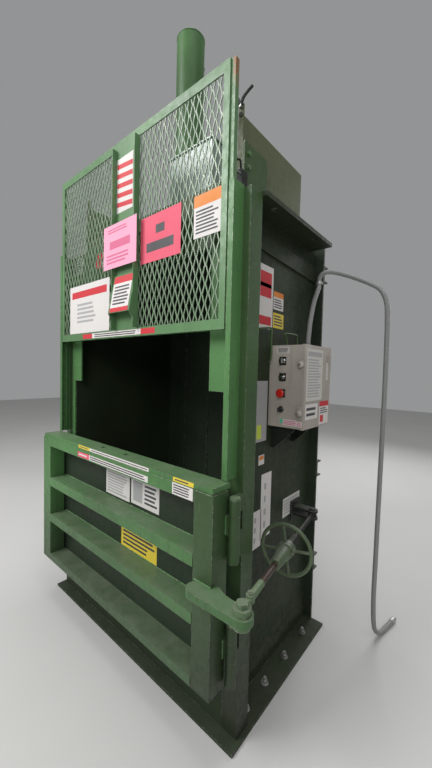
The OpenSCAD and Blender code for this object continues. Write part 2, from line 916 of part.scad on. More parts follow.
module stop_button() {
    color([0.7, 0.08, 0.06]) operator_at(2) {
        translate([0, 0, 8]) cylinder(r1 = 17, r2 = 20, h = 7, $fn = fn_small);
        translate([0, 0, 15]) dome(20, 6);
        stem(9);
    }
}

module key_switch() {
    color(steel) operator_at(3) {
        cylinder(r = 11, h = 9, $fn = fn_small);
        translate([-1.2, -9, 8]) cube([2.4, 18, 22]);
        stem(1);
    }
}

module gate_switch() {
    color([0.16, 0.17, 0.15]) translate([post_in - switch_in, switch_y, post_h]) difference() {
        cube(switch_s);
        translate([switch_in + plunger_x, -eps, plunger_up]) rotate([-90, 0, 0])
            cylinder(r = plunger_r + run, h = plunger_back + 2 * eps, $fn = fn_small);
    }
}

module gate_switch_plunger() {
    color(steel) translate([post_in + plunger_x, 0, post_h + plunger_up]) rotate([90, 0, 0]) {
        translate([0, 0, -plunger_back])
            cylinder(r = plunger_r, h = plunger_back + plunger_out, $fn = fn_small);
        translate([0, 0, plunger_out]) sphere(r = plunger_r, $fn = fn_small);
    }
}

module conduit_clip() {
    back = chamber_d - clip_at[1];
    color(steel) translate([clip_at[0], clip_at[1], clip_at[2] - clip_h / 2]) difference() {
        union() {
            cylinder(r = conduit_r + clip_wall, h = clip_h, $fn = fn_small);
            translate([clip_foot_x, back - clip_foot[1], 0]) cube([clip_foot[0], clip_foot[1], clip_h]);
            translate([-clip_stem / 2, 0, 0]) cube([clip_stem, back, clip_h]);
        }
        translate([0, 0, -eps]) cylinder(r = conduit_r + gap / 2, h = clip_h + 2 * eps, $fn = fn_small);
    }
}

module conduit_gland() {
    color(steel) translate([conduit_path[0][0], conduit_path[0][1], box_z + box_h]) {
        cylinder(r = 19, h = 8, $fn = fn_small);
        hex(34, 12);
        cylinder(r = 16, h = conduit_path[0][2] - box_z - box_h, $fn = fn_small);
    }
}

// Directions and rings of the swept conduit
function unit(v) = v / norm(v);
function tangent(p, i) = unit(p[min(i + 1, len(p) - 1)] - p[max(i - 1, 0)]);
function curve(p, i, t) = let (a = p[max(i - 1, 0)], b = p[i], c = p[i + 1], d = p[min(i + 2, len(p) - 1)])
    0.5 * (2 * b + (c - a) * t + (2 * a - 5 * b + 4 * c - d) * t * t + (3 * b - a - 3 * c + d) * t * t * t);
function smooth(p, n) =
    concat([for (i = [0 : len(p) - 2]) for (k = [0 : n - 1]) curve(p, i, k / n)], [p[len(p) - 1]]);
function side_of(t) = unit(cross(t, abs(t[1]) < 0.9 ? [0, 1, 0] : [1, 0, 0]));
function ring(c, t, r, n) = let (u = side_of(t), v = cross(t, u))
    [for (k = [0 : n - 1]) c + r * (cos(360 * k / n) * u + sin(360 * k / n) * v)];

module conduit() {
    n = conduit_sides;
    path = smooth(conduit_path, 3);
    rings = len(path);
    points = [for (i = [0 : rings - 1]) each ring(path[i], tangent(path, i), conduit_r - conduit_skin, n)];
    walls = [for (i = [0 : rings - 2]) for (k = [0 : n - 1])
        [(i + 1) * n + k, (i + 1) * n + (k + 1) % n, i * n + (k + 1) % n, i * n + k]];
    ends = [[for (k = [0 : n - 1]) k], [for (k = [1 : n]) rings * n - k]];
    color(grey) polyhedron(points, concat(walls, ends));
}

module conduit_fitting() {
    last = conduit_path[len(conduit_path) - 1];
    before = conduit_path[len(conduit_path) - 2];
    a = atan2(last[1] - before[1], last[0] - before[0]);
    color(steel) translate([last[0], last[1], last[2]]) rotate([0, 0, a]) rotate([0, 90, 0]) {
        cylinder(r = conduit_r + 1, h = 30, $fn = fn_small);
        translate([0, 0, 8]) cylinder(r = conduit_r + 1.4, h = 12, $fn = fn_small);
        translate([0, 0, 30]) cylinder(r = conduit_r - 2, h = 16, $fn = fn_small);
    }
}

module door_pan() {
    from = -door_half + pan_in;
    h = door_top - top_bar_t - door_z;
    color(dark_green) {
        translate([from, skin_y, door_z]) cube([door_end - from, plate_t, h]);
        for (x = [from, door_end - plate_t]) translate([x, skin_y, door_z])
            cube([plate_t, plate_t + return_d, h]);
        translate([from, skin_y, door_z]) cube([door_end - from, plate_t + return_d, plate_t]);
    }
}

// A shelf from the hinge stile to the door's free end, with its front lip turned down
module shelf(z, lip) {
    from = -door_half + bar_w;
    translate([from, door_front, z - plate_t]) cube([door_end - from, shelf_d, plate_t]);
    translate([from, door_front, z - lip]) cube([door_end - from, plate_t, lip]);
}

module door_top_bar() {
    color(green) {
        translate([-door_half + top_bar_back, door_front + top_bar_back, door_top - top_bar_t])
            cube([2 * door_half - 2.5 * top_bar_back, shelf_d + plate_t - top_bar_back, top_bar_t]);
        // The lip is a bar of its own, a hair below the top bar
        translate([-door_half + bar_w, door_front, door_top - top_bar_t - top_lip_h])
            cube([door_end + door_half - bar_w, plate_t, top_lip_h - hair]);
        for (x = top_bolt_x) translate([x, door_front + top_bolt_y, door_top])
            hex(top_bolt[0], top_bolt[1]);
    }
}

module door_shelf_upper() {
    color(green) shelf(shelf_1_z, lip_h + 5);
}

module door_shelf_lower() {
    color(green) shelf(shelf_2_z, lip_h);
}

module door_bottom_rail() {
    color(green) shelf(door_z + lip_h - 6, lip_h - 6);
}

module door_stile() {
    color(green) {
        left() translate([door_half - bar_w, door_front, door_z])
            tube([bar_w, bar_d], bar_wall, bar_top + 2 - door_z);
        left() moving_knuckle(hinge_low);
        left() moving_knuckle(hinge_high);
    }
}

module latch_bar() {
    color(green) {
        translate([door_half - bar_w, door_front, door_z]) tube([bar_w, bar_d], bar_wall, bar_top - door_z);
        moving_knuckle(hinge_low);
        moving_knuckle(hinge_high);
    }
}

// Points of an arc, from one angle to another
function arc(c, r, from, to, n = 20) =
    [for (i = [0 : n]) c + r * [cos(from + (to - from) * i / n), sin(from + (to - from) * i / n)]];
function bearing(a, b) = atan2(b[1] - a[1], b[0] - a[0]);

// The lever lies against the front of the latch bar, wraps its corner and reaches out to its bolt
module latch_lever() {
    corner = [door_half, door_front];
    heel = [door_half - bar_w + heel_in, door_front - heel_r];
    elbow = corner + elbow_out;
    front = bearing(heel, lever_bolt) - acos((heel_r - lever_r) / norm(lever_bolt - heel));
    // The waist is one arc that touches the round of the elbow and the round of the end
    d = norm(lever_bolt - elbow);
    along_d = (pow(waist_r + elbow_r, 2) - pow(waist_r + lever_r, 2) + d * d) / (2 * d);
    u = (lever_bolt - elbow) / d;
    waist = elbow + along_d * u + sqrt(pow(waist_r + elbow_r, 2) - along_d * along_d) * [-u[1], u[0]];
    outline = concat(arc(heel, heel_r, 90, 360 + front),
        arc(lever_bolt, lever_r, front, bearing(lever_bolt, waist)),
        arc(waist, waist_r, 180 + bearing(lever_bolt, waist), 180 + bearing(elbow, waist)),
        arc(elbow, elbow_r, bearing(elbow, waist), 90 + asin((elbow[0] - corner[0]) / elbow_r)),
        [corner]);
    color(green) translate([0, 0, lever_z]) difference() {
        linear_extrude(lever_t) polygon(outline);
        translate([lever_bolt[0], lever_bolt[1], -eps])
            cylinder(r = bolt_r, h = lever_t + 2 * eps, $fn = fn_big);
    }
}

module lever_bolt() {
    color(steel) translate([lever_bolt[0], lever_bolt[1], 0]) {
        head_z = screw_z + eye_t / 2 + gap;
        translate([0, 0, lever_z - bolt_tail])
            cylinder(r = bolt_r, h = head_z - lever_z + bolt_tail, $fn = fn_big);
        translate([0, 0, lever_z + lever_t]) cylinder(r = bolt_washer[0], h = bolt_washer[1], $fn = fn_big);
        translate([0, 0, head_z]) hex(bolt_head[0], bolt_head[1]);
        translate([0, 0, lever_z - bolt_ring[1]])
            cylinder(r = bolt_ring[0], h = bolt_ring[1], $fn = fn_big);
    }
}

module link_rod() {
    color(steel) on_screw() difference() {
        union() {
            translate([0, 0, -rear_eye_t / 2]) cylinder(r = rear_eye_r, h = rear_eye_t, $fn = fn_big);
            along(rear_eye_r - link_root, sleeve_from + eps, link_r, link_r);
            along(sleeve_from, sleeve_to, sleeve_r, sleeve_r);
        }
        translate([0, 0, -rear_eye_t]) cylinder(r = rear_pin_r + run, h = 2 * rear_eye_t, $fn = fn_big);
        along(sleeve_from + 12, sleeve_to + eps, journal_r + run, journal_r + run);
    }
}

module handwheel() {
    color(green) on_screw() {
        difference() {
            union() {
                along(journal_from, hub_from + eps, journal_r, journal_r);
                along(hub_from, hub_to, hub_r, hub_r);
                along(hub_to - eps, nut_to, hub_r - 4, nut_r);
            }
            along(journal_from - eps, nut_to + eps, screw_r + run, screw_r + run);
        }
        translate([wheel_at, 0, 0]) rotate([0, 90, 0]) {
            rotate_extrude($fn = fn_big) translate([wheel_r, 0]) circle(r = rim_r, $fn = fn_small);
            for (i = [0 : 3]) rotate([0, 0, 90 * i + spoke_turn]) translate([hub_r - 4, 0, 0])
                rotate([0, 90, 0])
                cylinder(r = spoke_r, h = wheel_r - hub_r + 4, $fn = fn_small);
        }
    }
}

// The bare screw, its socket, a clevis with its pin, and the eye round the lever's bolt
module screw_eye() {
    clevis = screw_run - clevis_in;
    color(steel) on_screw() difference() {
        union() {
            along(screw_from, socket_from + eps, screw_r, screw_r);
            along(socket_from, clevis, socket_r, socket_r);
            translate([clevis, 0, -clevis_t / 2]) cylinder(r = clevis_r, h = clevis_t, $fn = fn_small);
            translate([clevis, 0, -clevis_pin[1] / 2])
                cylinder(r = clevis_pin[0], h = clevis_pin[1], $fn = fn_small);
            translate([clevis, 0, clevis_t / 2]) hex(clevis_head[0], clevis_head[1]);
            translate([clevis, -neck_w / 2, -neck_t / 2])
                cube([clevis_in - bolt_r - eye_play - eps, neck_w, neck_t]);
            translate([screw_run, 0, -eye_t / 2]) cylinder(r = eye_r, h = eye_t, $fn = fn_big);
        }
        translate([screw_run, 0, -eye_t]) cylinder(r = bolt_r + eye_play, h = 2 * eye_t, $fn = fn_big);
    }
}

// An angle all round, its outer leg turned back, with a tongue down each side for the guides
module gate_frame() {
    color(green) translate([0, gate_front, 0]) difference() {
        union() {
            for (z = [gate_z, gate_z + gate_h - gate_rail]) translate([-gate_w / 2, 0, z])
                cube([gate_w, gate_d, gate_rail]);
            both_sides() {
                translate([gate_w / 2 - gate_stile, 0, gate_z]) cube([gate_stile, gate_d, gate_h]);
                translate([gate_w / 2 - eps, slot_y + slide_gap - gate_front, gate_z])
                    cube([tongue_w, tongue_t, gate_h]);
            }
        }
        translate([frame_t - gate_w / 2, frame_t, gate_z + frame_t])
            cube([gate_w - 2 * frame_t, gate_d, gate_h - 2 * frame_t]);
    }
}

// Expanded mesh: zigzag strands side by side, each crest against its neighbour's
module gate_mesh() {
    w = gate_w - 2 * gate_stile + 2 * mesh_lap;
    h = gate_h - 2 * gate_rail + 2 * mesh_lap;
    columns = 2 * round(w / mesh_short);
    rows = 2 * round(h / mesh_long);
    pitch = w / columns;
    swing = (pitch - strand_w) / 2 - hair;
    color(green) translate([-w / 2, gate_front + frame_t + mesh_t, gate_z + gate_rail - mesh_lap])
        rotate([90, 0, 0])
        linear_extrude(mesh_t) for (i = [0 : columns - 1])
            translate([(i + 0.5) * pitch, 0]) strand(rows, h / rows, swing * (i % 2 * 2 - 1));
}

// One zigzag strand of the mesh
module strand(rows, step, swing) {
    side = strand_w / 2;
    left_side = [for (k = [0 : rows]) [(k % 2 * 2 - 1) * swing - side, k * step]];
    right_side = [for (k = [rows : -1 : 0]) [(k % 2 * 2 - 1) * swing + side, k * step]];
    polygon(concat(left_side, right_side));
}

// The channel up the middle of the gate, with its handle pocket at the foot
module gate_channel() {
    foot = gate_z + gate_rail;
    top = gate_z + gate_h - gate_rail;
    color(green) translate([strip_x - strip_w / 2, gate_front, 0]) {
        translate([0, 0, foot]) cube([strip_w, strip_t, top - foot]);
        for (x = [0, strip_w - strip_t]) translate([x, -strip_flange, foot])
            cube([strip_t, strip_flange, top - foot]);
        for (x = [strip_t, strip_w - 2 * strip_t]) translate([x, 0, foot + handle_z]) rotate([90, 0, 90])
            linear_extrude(strip_t)
                polygon([[0, -handle_z], [0, handle_h], [-handle_in, handle_h], [-handle_out, 0]]);
        translate([strip_t, 0, foot + handle_z]) rotate([90, 0, 90]) linear_extrude(strip_w - 2 * strip_t)
            polygon([[0, handle_h], [-handle_in, handle_h], [-handle_out, 0], [-handle_out + strip_t, 0],
                     [-handle_in, handle_h - handle_fold], [0, handle_h - handle_fold]]);
    }
}

module platen() {
    w = chamber_w - 2 * platen_gap;
    y0 = header_d + platen_gap;
    d = chamber_d - platen_rear_gap - platen_gap - y0;
    t = platen_rib;
    rib = platen_h - platen_plate - platen_boss[2];
    boss_x = (w - platen_boss[0]) / 2;
    boss_y = cyl_y - y0 - platen_boss[1] / 2;
    color(dark_green) translate([-w / 2, y0, platen_z]) {
        cube([w, d, platen_plate]);
        translate([boss_x, boss_y, platen_h - platen_boss[2]]) cube(platen_boss);
        translate([0, 0, platen_plate]) {
            for (x = [0, boss_x, w - boss_x - t, w - t]) translate([x, 0, 0]) cube([t, d, rib]);
            for (y = [0, d - t]) translate([0, y, 0]) cube([w, t, rib]);
            for (y = [boss_y, boss_y + platen_boss[1] - t]) translate([boss_x, y, 0])
                cube([platen_boss[0], t, rib]);
        }
    }
}

module piston_rod() {
    color(steel) translate([0, cyl_y, 0]) {
        translate([0, 0, platen_z + platen_h])
            cylinder(r = rod_r + rod_foot[0], h = rod_foot[1], $fn = fn_big);
        translate([0, 0, platen_z + platen_h])
            cylinder(r = rod_r, h = rod_top - platen_z - platen_h, $fn = fn_big);
        translate([0, 0, rod_top - piston_h]) cylinder(r = bore_r - run, h = piston_h, $fn = fn_big);
    }
}

base_frame();
chamber_floor();
post_right();
post_left();
side_wall_right();
side_wall_left();
back_wall();
header();
jamb_right();
jamb_left();
guide_right();
guide_left();
roof_plate();
upper_panel_right();
upper_panel_left();
gusset_right();
gusset_left();
hex_bolts();
press_cylinder();
cylinder_flange();
oil_tank();
filler_cap();
pump_motor();
valve_block();
anchor_bolts();
hinge_brackets();
hinge_pins();
screw_bracket();
screw_pin();
control_box();
box_bracket();
button_bezels();
gate_switch();
gate_switch_plunger();
conduit_clip();
conduit_gland();
conduit();
conduit_fitting();
door_pan();
door_top_bar();
door_shelf_upper();
door_shelf_lower();
door_bottom_rail();
door_stile();
latch_bar();
latch_lever();
lever_bolt();
link_rod();
handwheel();
screw_eye();
gate_frame();
gate_mesh();
gate_channel();
platen();
piston_rod();
box_cover();
selector_knob();
start_button();
stop_button();
key_switch();
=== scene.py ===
import math
import random

import bpy
from mathutils import Matrix, Vector


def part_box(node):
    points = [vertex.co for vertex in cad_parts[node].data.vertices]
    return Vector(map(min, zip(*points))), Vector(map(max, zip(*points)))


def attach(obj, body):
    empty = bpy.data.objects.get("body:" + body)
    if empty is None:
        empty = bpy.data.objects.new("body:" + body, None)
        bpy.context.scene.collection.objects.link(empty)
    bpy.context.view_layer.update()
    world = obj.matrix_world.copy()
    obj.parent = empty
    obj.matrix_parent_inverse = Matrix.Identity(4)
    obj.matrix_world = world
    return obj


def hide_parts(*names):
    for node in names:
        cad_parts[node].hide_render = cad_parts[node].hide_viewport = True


# All places are in metres in the machine's frame: x = 0 midway between the posts, y = 0 at their front
# faces, z = 0 on the floor, and the front faces -Y. Values that go through mm() are in millimetres.
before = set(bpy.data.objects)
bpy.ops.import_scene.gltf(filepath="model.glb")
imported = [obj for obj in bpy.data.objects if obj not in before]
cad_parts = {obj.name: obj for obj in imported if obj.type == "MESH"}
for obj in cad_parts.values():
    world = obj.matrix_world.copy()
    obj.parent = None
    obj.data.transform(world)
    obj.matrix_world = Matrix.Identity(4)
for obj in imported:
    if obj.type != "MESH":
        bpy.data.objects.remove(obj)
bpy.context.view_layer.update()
random.seed(11)

# The photograph's frame and its fitted camera
IMAGE_H = 768
FOCAL_PX = 324.6
SENSOR_WIDTH = 24
NEAR_CLIP = 0.01
CAMERA_AT = (1.417, -1.000, 1.468)
CAMERA_YAW = 40.28
CAMERA_PITCH = -2.50
CAMERA_ROLL = 1.37

# Across and up on the front and on the right side
FRONT = ((1, 0, 0), (0, 0, 1))
RIGHT = ((0, 1, 0), (0, 0, 1))

# The conduit's route, as the part's source has it, its diameter, and the pitch and depth of its ribs
CONDUIT = [(0.700, 0.560, 1.606), (0.699, 0.563, 1.640), (0.694, 0.590, 1.730), (0.682, 0.650, 1.830),
           (0.664, 0.730, 1.905), (0.654, 0.776, 1.946), (0.652, 0.784, 1.972), (0.654, 0.784, 1.998),
           (0.670, 0.783, 2.018), (0.700, 0.794, 2.026), (0.742, 0.824, 2.020), (0.820, 0.844, 1.988),
           (0.903, 0.852, 1.944), (0.955, 0.856, 1.905), (0.984, 0.858, 1.840), (0.992, 0.860, 1.740),
           (0.994, 0.862, 1.560), (0.994, 0.864, 1.340), (0.992, 0.866, 1.120), (0.990, 0.868, 0.900),
           (0.988, 0.870, 0.680), (0.986, 0.872, 0.460), (0.984, 0.876, 0.260), (0.986, 0.886, 0.130),
           (0.992, 0.912, 0.052), (1.006, 0.962, 0.017), (1.022, 1.032, 0.014), (1.034, 1.092, 0.014)]
CONDUIT_D = 0.0244
RIB_PITCH = 0.0062
RIB_DEPTH = 0.0007

# Sheet and print thickness of a label, and how far (mm) its back lies within the face it is stuck on
SHEET_THICK = 0.0006
PRINT_THICK = 0.00012
SUNK = 0.1

# Direction of the screw, from the wheel to the eye
SCREW_LINE = (0.152969, -0.988231, 0)


# Camera
def make_camera():
    data = bpy.data.cameras.new("photo_camera")
    data.sensor_width = SENSOR_WIDTH
    data.lens = data.sensor_width * FOCAL_PX / IMAGE_H
    data.clip_start = NEAR_CLIP
    yaw = math.radians(CAMERA_YAW)
    pitch = math.radians(CAMERA_PITCH)
    roll = math.radians(CAMERA_ROLL)
    ahead = Vector((-math.sin(yaw) * math.cos(pitch), math.cos(yaw) * math.cos(pitch), math.sin(pitch)))
    level = Vector((math.cos(yaw), math.sin(yaw), 0))
    top = level.cross(ahead)
    right = level * math.cos(roll) + top * math.sin(roll)
    up = right.cross(ahead)
    camera = bpy.data.objects.new("photo_camera", data)
    turn = Matrix((right, up, -ahead)).transposed().to_4x4()
    camera.matrix_world = Matrix.Translation(CAMERA_AT) @ turn
    bpy.context.scene.collection.objects.link(camera)
    bpy.context.scene.camera = camera


make_camera()


# Mesh helpers
def mm(*values):
    return tuple(v / 1000 for v in values)


def add_object(name, mesh):
    obj = bpy.data.objects.new(name, mesh)
    bpy.context.scene.collection.objects.link(obj)
    return obj


def mesh_object(name, verts, faces, materials, indices=None, smooth=False):
    mesh = bpy.data.meshes.new(name)
    mesh.from_pydata([tuple(v) for v in verts], [], faces)
    for m in materials:
        mesh.materials.append(m)
    for n, p in enumerate(mesh.polygons):
        p.material_index = indices[n] if indices else 0
        p.use_smooth = smooth
    mesh.update()
    return add_object(name, mesh)


def catmull(points, steps):
    """Points along a smooth curve through the given ones."""
    pts = [Vector(p) for p in points]
    out = []
    for i in range(len(pts) - 1):
        a, b, c, d = pts[max(i - 1, 0)], pts[i], pts[i + 1], pts[min(i + 2, len(pts) - 1)]
        for k in range(steps):
            t = k / steps
            out.append(0.5 * (2 * b + (c - a) * t + (2 * a - 5 * b + 4 * c - d) * t * t
                              + (3 * b - a - 3 * c + d) * t ** 3))
    out.append(pts[-1])
    return out


def path_length(points):
    return sum((Vector(b) - Vector(a)).length for a, b in zip(points, points[1:]))


def spaced(line, total, count):
    """Points at equal steps along a polyline of the given length, both ends included."""
    marks = [0.0]
    for a, b in zip(line, line[1:]):
        marks.append(marks[-1] + (b - a).length)
    out = []
    i = 0
    for n in range(count + 1):
        s = total * n / count
        while i < len(marks) - 2 and marks[i + 1] < s:
            i += 1
        out.append(line[i].lerp(line[i + 1], (s - marks[i]) / (marks[i + 1] - marks[i])))
    return out


def ring_faces(rings, sides):
    """Faces of a closed tube over rings of vertices: its wall, then both ends."""
    faces = []
    for i in range(rings - 1):
        for k in range(sides):
            n = (k + 1) % sides
            faces.append((i * sides + k, i * sides + n, (i + 1) * sides + n, (i + 1) * sides + k))
    faces.append(tuple(reversed(range(sides))))
    faces.append(tuple((rings - 1) * sides + k for k in range(sides)))
    return faces


def tube_rings(path, radii, sides):
    """Vertices and faces of a tube along a path, one radius for each point."""
    verts = []
    across = None
    for i, p in enumerate(path):
        ahead = (path[min(i + 1, len(path) - 1)] - path[max(i - 1, 0)]).normalized()
        if across is None:
            seed = Vector((0, 1, 0)) if abs(ahead.y) < 0.9 else Vector((1, 0, 0))
            across = ahead.cross(seed).normalized()
        across = (across - ahead * across.dot(ahead)).normalized()
        side = ahead.cross(across)
        for k in range(sides):
            a = 2 * math.pi * k / sides
            verts.append(p + radii[i] * (math.cos(a) * across + math.sin(a) * side))
    return verts, ring_faces(len(path), sides)


# Materials
class Graph:
    """A small builder for node materials."""

    def __init__(self, name):
        self.material = bpy.data.materials.new(name)
        self.material.use_nodes = True
        self.tree = self.material.node_tree
        self.tree.nodes.clear()
        self.out = self.add("ShaderNodeOutputMaterial")
        self.shader = self.add("ShaderNodeBsdfPrincipled")
        self.link(self.shader.outputs["BSDF"], self.out.inputs["Surface"])
        self.place = self.add("ShaderNodeTexCoord").outputs["Object"]

    def add(self, kind, **values):
        node = self.tree.nodes.new(kind)
        for key, value in values.items():
            setattr(node, key, value)
        return node

    def link(self, a, b):
        self.tree.links.new(a, b)

    def feed(self, socket, value):
        if isinstance(value, bpy.types.NodeSocket):
            self.link(value, socket)
        else:
            socket.default_value = value

    def scaled(self, scale):
        node = self.add("ShaderNodeMapping")
        self.link(self.place, node.inputs["Vector"])
        node.inputs["Scale"].default_value = scale
        return node.outputs["Vector"]

    def noise(self, scale, detail=4, rough=0.55, vector=None, distortion=0.0):
        node = self.add("ShaderNodeTexNoise")
        self.link(vector or self.place, node.inputs["Vector"])
        node.inputs["Scale"].default_value = scale
        node.inputs["Detail"].default_value = detail
        node.inputs["Roughness"].default_value = rough
        node.inputs["Distortion"].default_value = distortion
        return node.outputs["Fac"]

    def ramp(self, value, low, high, to_low=0.0, to_high=1.0):
        """A smooth step from one value at low to the other at high; low may lie above high."""
        node = self.add("ShaderNodeMapRange")
        node.interpolation_type = "SMOOTHSTEP"
        self.feed(node.inputs["Value"], value)
        for key, v in (("From Min", low), ("From Max", high), ("To Min", to_low), ("To Max", to_high)):
            node.inputs[key].default_value = v
        return node.outputs["Result"]

    def math(self, kind, a, b=0.0):
        """One sum of two values, held between nought and one."""
        node = self.add("ShaderNodeMath", operation=kind)
        node.use_clamp = True
        self.feed(node.inputs[0], a)
        self.feed(node.inputs[1], b)
        return node.outputs[0]

    def mix(self, factor, a, b):
        node = self.add("ShaderNodeMix", data_type="RGBA")
        self.feed(node.inputs["Factor"], factor)
        for key, value in (("A", a), ("B", b)):
            socket = [s for s in node.inputs if s.name == key and s.type == "RGBA"][0]
            self.feed(socket, value if isinstance(value, bpy.types.NodeSocket) else (*value, 1))
        return [s for s in node.outputs if s.type == "RGBA"][0]

    def dot(self, vector, axis):
        node = self.add("ShaderNodeVectorMath", operation="DOT_PRODUCT")
        self.link(vector, node.inputs[0])
        self.feed(node.inputs[1], axis)
        return node.outputs["Value"]

    def part_of(self, vector, letter):
        node = self.add("ShaderNodeSeparateXYZ")
        self.link(vector, node.inputs[0])
        return node.outputs[letter]

    def bump(self, height, strength, distance=0.001):
        node = self.add("ShaderNodeBump")
        node.inputs["Strength"].default_value = strength
        node.inputs["Distance"].default_value = distance
        self.feed(node.inputs["Height"], height)
        self.link(node.outputs["Normal"], self.shader.inputs["Normal"])

    def edges(self, radius):
        """One where a corner lies within the radius, nought on a flat face."""
        bevel = self.add("ShaderNodeBevel", samples=4)
        bevel.inputs["Radius"].default_value = radius
        flat = self.add("ShaderNodeNewGeometry")
        return self.ramp(self.dot(bevel.outputs[0], flat.outputs["Normal"]), 0.995, 0.9)

    def finish(self, color, roughness, metallic=0.0):
        self.feed(self.shader.inputs["Base Color"],
                  color if isinstance(color, bpy.types.NodeSocket) else (*color, 1))
        self.feed(self.shader.inputs["Roughness"], roughness)
        self.feed(self.shader.inputs["Metallic"], metallic)
        return self.material


def shade(color, factor, added=0.0):
    """A colour made darker or lighter, no part of it above one."""
    return tuple(min(1, factor * c + added) for c in color)


STEEL = (0.42, 0.40, 0.37)
PRIMER = (0.06, 0.055, 0.045)
GRIME = (0.035, 0.034, 0.028)
DUST = (0.13, 0.12, 0.10)
UPWARD_FACE_TONE = (0.20, 0.21, 0.17)
EDGE_RUST = (0.24, 0.115, 0.05)


def lighten_upward_faces(g, color, amount):
    """Faces that look up made lighter, in patches."""
    up = g.part_of(g.add("ShaderNodeNewGeometry").outputs["Normal"], "Z")
    upward_share = g.ramp(up, 0.7, 0.98, 0, amount)
    patches = g.ramp(g.noise(9, 6, 0.7), 0.3, 0.7, 0.12, 0.42)
    return g.mix(g.math("MULTIPLY", upward_share, patches), color, UPWARD_FACE_TONE)


def bare_stretch(g, color, axis, start, end, tone, soft=0.004):
    """Paint gone between two distances along an axis."""
    along = g.dot(g.place, axis)
    stretch = g.math("MULTIPLY", g.ramp(along, start, start + soft), g.ramp(along, end + soft, end))
    return g.mix(stretch, color, g.mix(g.noise(50, 5, 0.7), tone, shade(tone, 0.45)))


def rusted_corner(g, color, x, z, broken):
    """Rust beyond x and above z with a ragged lower rim; heights are in tenths, as sums end at one."""
    at = g.add("ShaderNodeSeparateXYZ")
    g.link(g.place, at.inputs[0])
    beyond = g.ramp(at.outputs["X"], x, x + 0.003)
    ragged = g.math("ADD", g.math("MULTIPLY", at.outputs["Z"], 0.1), g.math("MULTIPLY", broken, 0.006))
    above = g.ramp(ragged, 0.1 * z, 0.1 * z + 0.009)
    return g.mix(g.math("MULTIPLY", beyond, above), color, EDGE_RUST)


def painted(name, base, wear=0.5, dirt=0.5, rough=0.42, edge=0.0035, foot=0.0, gloss=0.35, foot_dirt_and_shade=DUST,
            foot_dirt_and_shade_share=0.35, up_face_share=1.0, rust_from=None, stripped=None):
    """Painted steel: cloudy colour, stains, scratches, chips to primer and steel, lighter patches on upward
    faces.

    wear: scratches and chips, these within edge of a corner; dirt: running stains; foot, foot_dirt_and_shade,
    foot_dirt_and_shade_share: height, colour and strength of the darkening towards the floor, floor dirt on
    the base and walls and painted shade on the door and posts; up_face_share: share of the lighter patches on
    upward faces; rust_from: x and z of a rusty corner; stripped: axis, start, end and colour of a stretch
    without paint."""
    g = Graph(name)
    cloud = g.ramp(g.noise(1.7, 5), 0.3, 0.75)
    fine = g.noise(38, 6, 0.7)
    dark = shade(base, 0.72)
    color = g.mix(cloud, dark, shade(base, 1.14))
    color = g.mix(g.ramp(fine, 0.45, 0.75, 0, 0.25), color, dark)
    runs = g.noise(5, 7, 0.7, g.scaled((9, 9, 0.9)))
    stain = g.math("MULTIPLY", g.ramp(runs, 0.52, 0.78), dirt)
    color = g.mix(stain, color, GRIME)
    hairs = g.ramp(g.noise(14, 3, 0.5, g.scaled((1, 1, 14)), 0.6), 0.685, 0.72, 0, 0.5 * wear)
    cross = g.ramp(g.noise(11, 3, 0.5, g.scaled((14, 14, 1)), 0.6), 0.69, 0.72, 0, 0.4 * wear)
    color = g.mix(g.math("ADD", hairs, cross), color, shade(base, 1.9, 0.03))
    near = g.edges(edge)
    broken = g.ramp(g.noise(26, 8, 0.75), 0.42, 0.56)
    rub = g.math("MULTIPLY", g.math("MULTIPLY", near, broken), min(1.0, 1.5 * wear))
    spots = g.ramp(g.noise(21, 9, 0.78), 0.755 - 0.04 * wear, 0.77 - 0.04 * wear)
    chips = g.math("MAXIMUM", rub, spots)
    bare = g.mix(g.ramp(g.noise(60, 4), 0.4, 0.6), PRIMER, STEEL)
    color = g.mix(chips, color, bare)
    # Darker towards the floor: floor dirt on the base and walls, painted shade on the door and posts
    if foot:
        height = g.math("SUBTRACT", g.part_of(g.place, "Z"), g.math("MULTIPLY", broken, 0.08))
        color = g.mix(g.math("MULTIPLY", g.ramp(height, foot, 0.0), foot_dirt_and_shade_share), color, foot_dirt_and_shade)
    color = lighten_upward_faces(g, color, up_face_share)
    if stripped:
        color = bare_stretch(g, color, *stripped)
    if rust_from:
        color = rusted_corner(g, color, *rust_from, broken)
    sheen = g.ramp(fine, 0.3, 0.8, rough - 0.08, rough + 0.2)
    roughness = g.math("ADD", sheen, g.math("MULTIPLY", stain, 0.3))
    g.bump(g.math("MULTIPLY", g.noise(240, 2), 0.4), 0.25, 0.0006)
    g.shader.inputs["Specular IOR Level"].default_value = gloss
    return g.finish(color, roughness, g.math("MULTIPLY", chips, 0.45))


def metal(name, base, rust=0.0, rough=0.35, metallic=1.0, oil=0.3):
    """Bare steel with rust blooms, oily patches and a fine grain."""
    g = Graph(name)
    cloud = g.noise(14, 6, 0.65)
    color = g.mix(g.ramp(cloud, 0.35, 0.7), shade(base, 0.65), base)
    bloom = g.ramp(g.noise(22, 8, 0.75), 0.62 - 0.25 * rust, 0.72 - 0.2 * rust, 0, min(1, 1.6 * rust))
    brown = g.mix(g.noise(70, 5), (0.09, 0.035, 0.015), (0.24, 0.1, 0.04))
    color = g.mix(bloom, color, brown)
    color = g.mix(g.ramp(g.noise(6, 4), 0.5, 0.75, 0, oil), color, (0.03, 0.028, 0.025))
    g.bump(g.math("ADD", g.noise(160, 3, 0.5), bloom), 0.2, 0.0005)
    roughness = g.math("ADD", g.ramp(cloud, 0.3, 0.7, rough - 0.1, rough + 0.12),
                       g.math("MULTIPLY", bloom, 0.45))
    return g.finish(color, roughness, g.math("SUBTRACT", metallic, bloom))


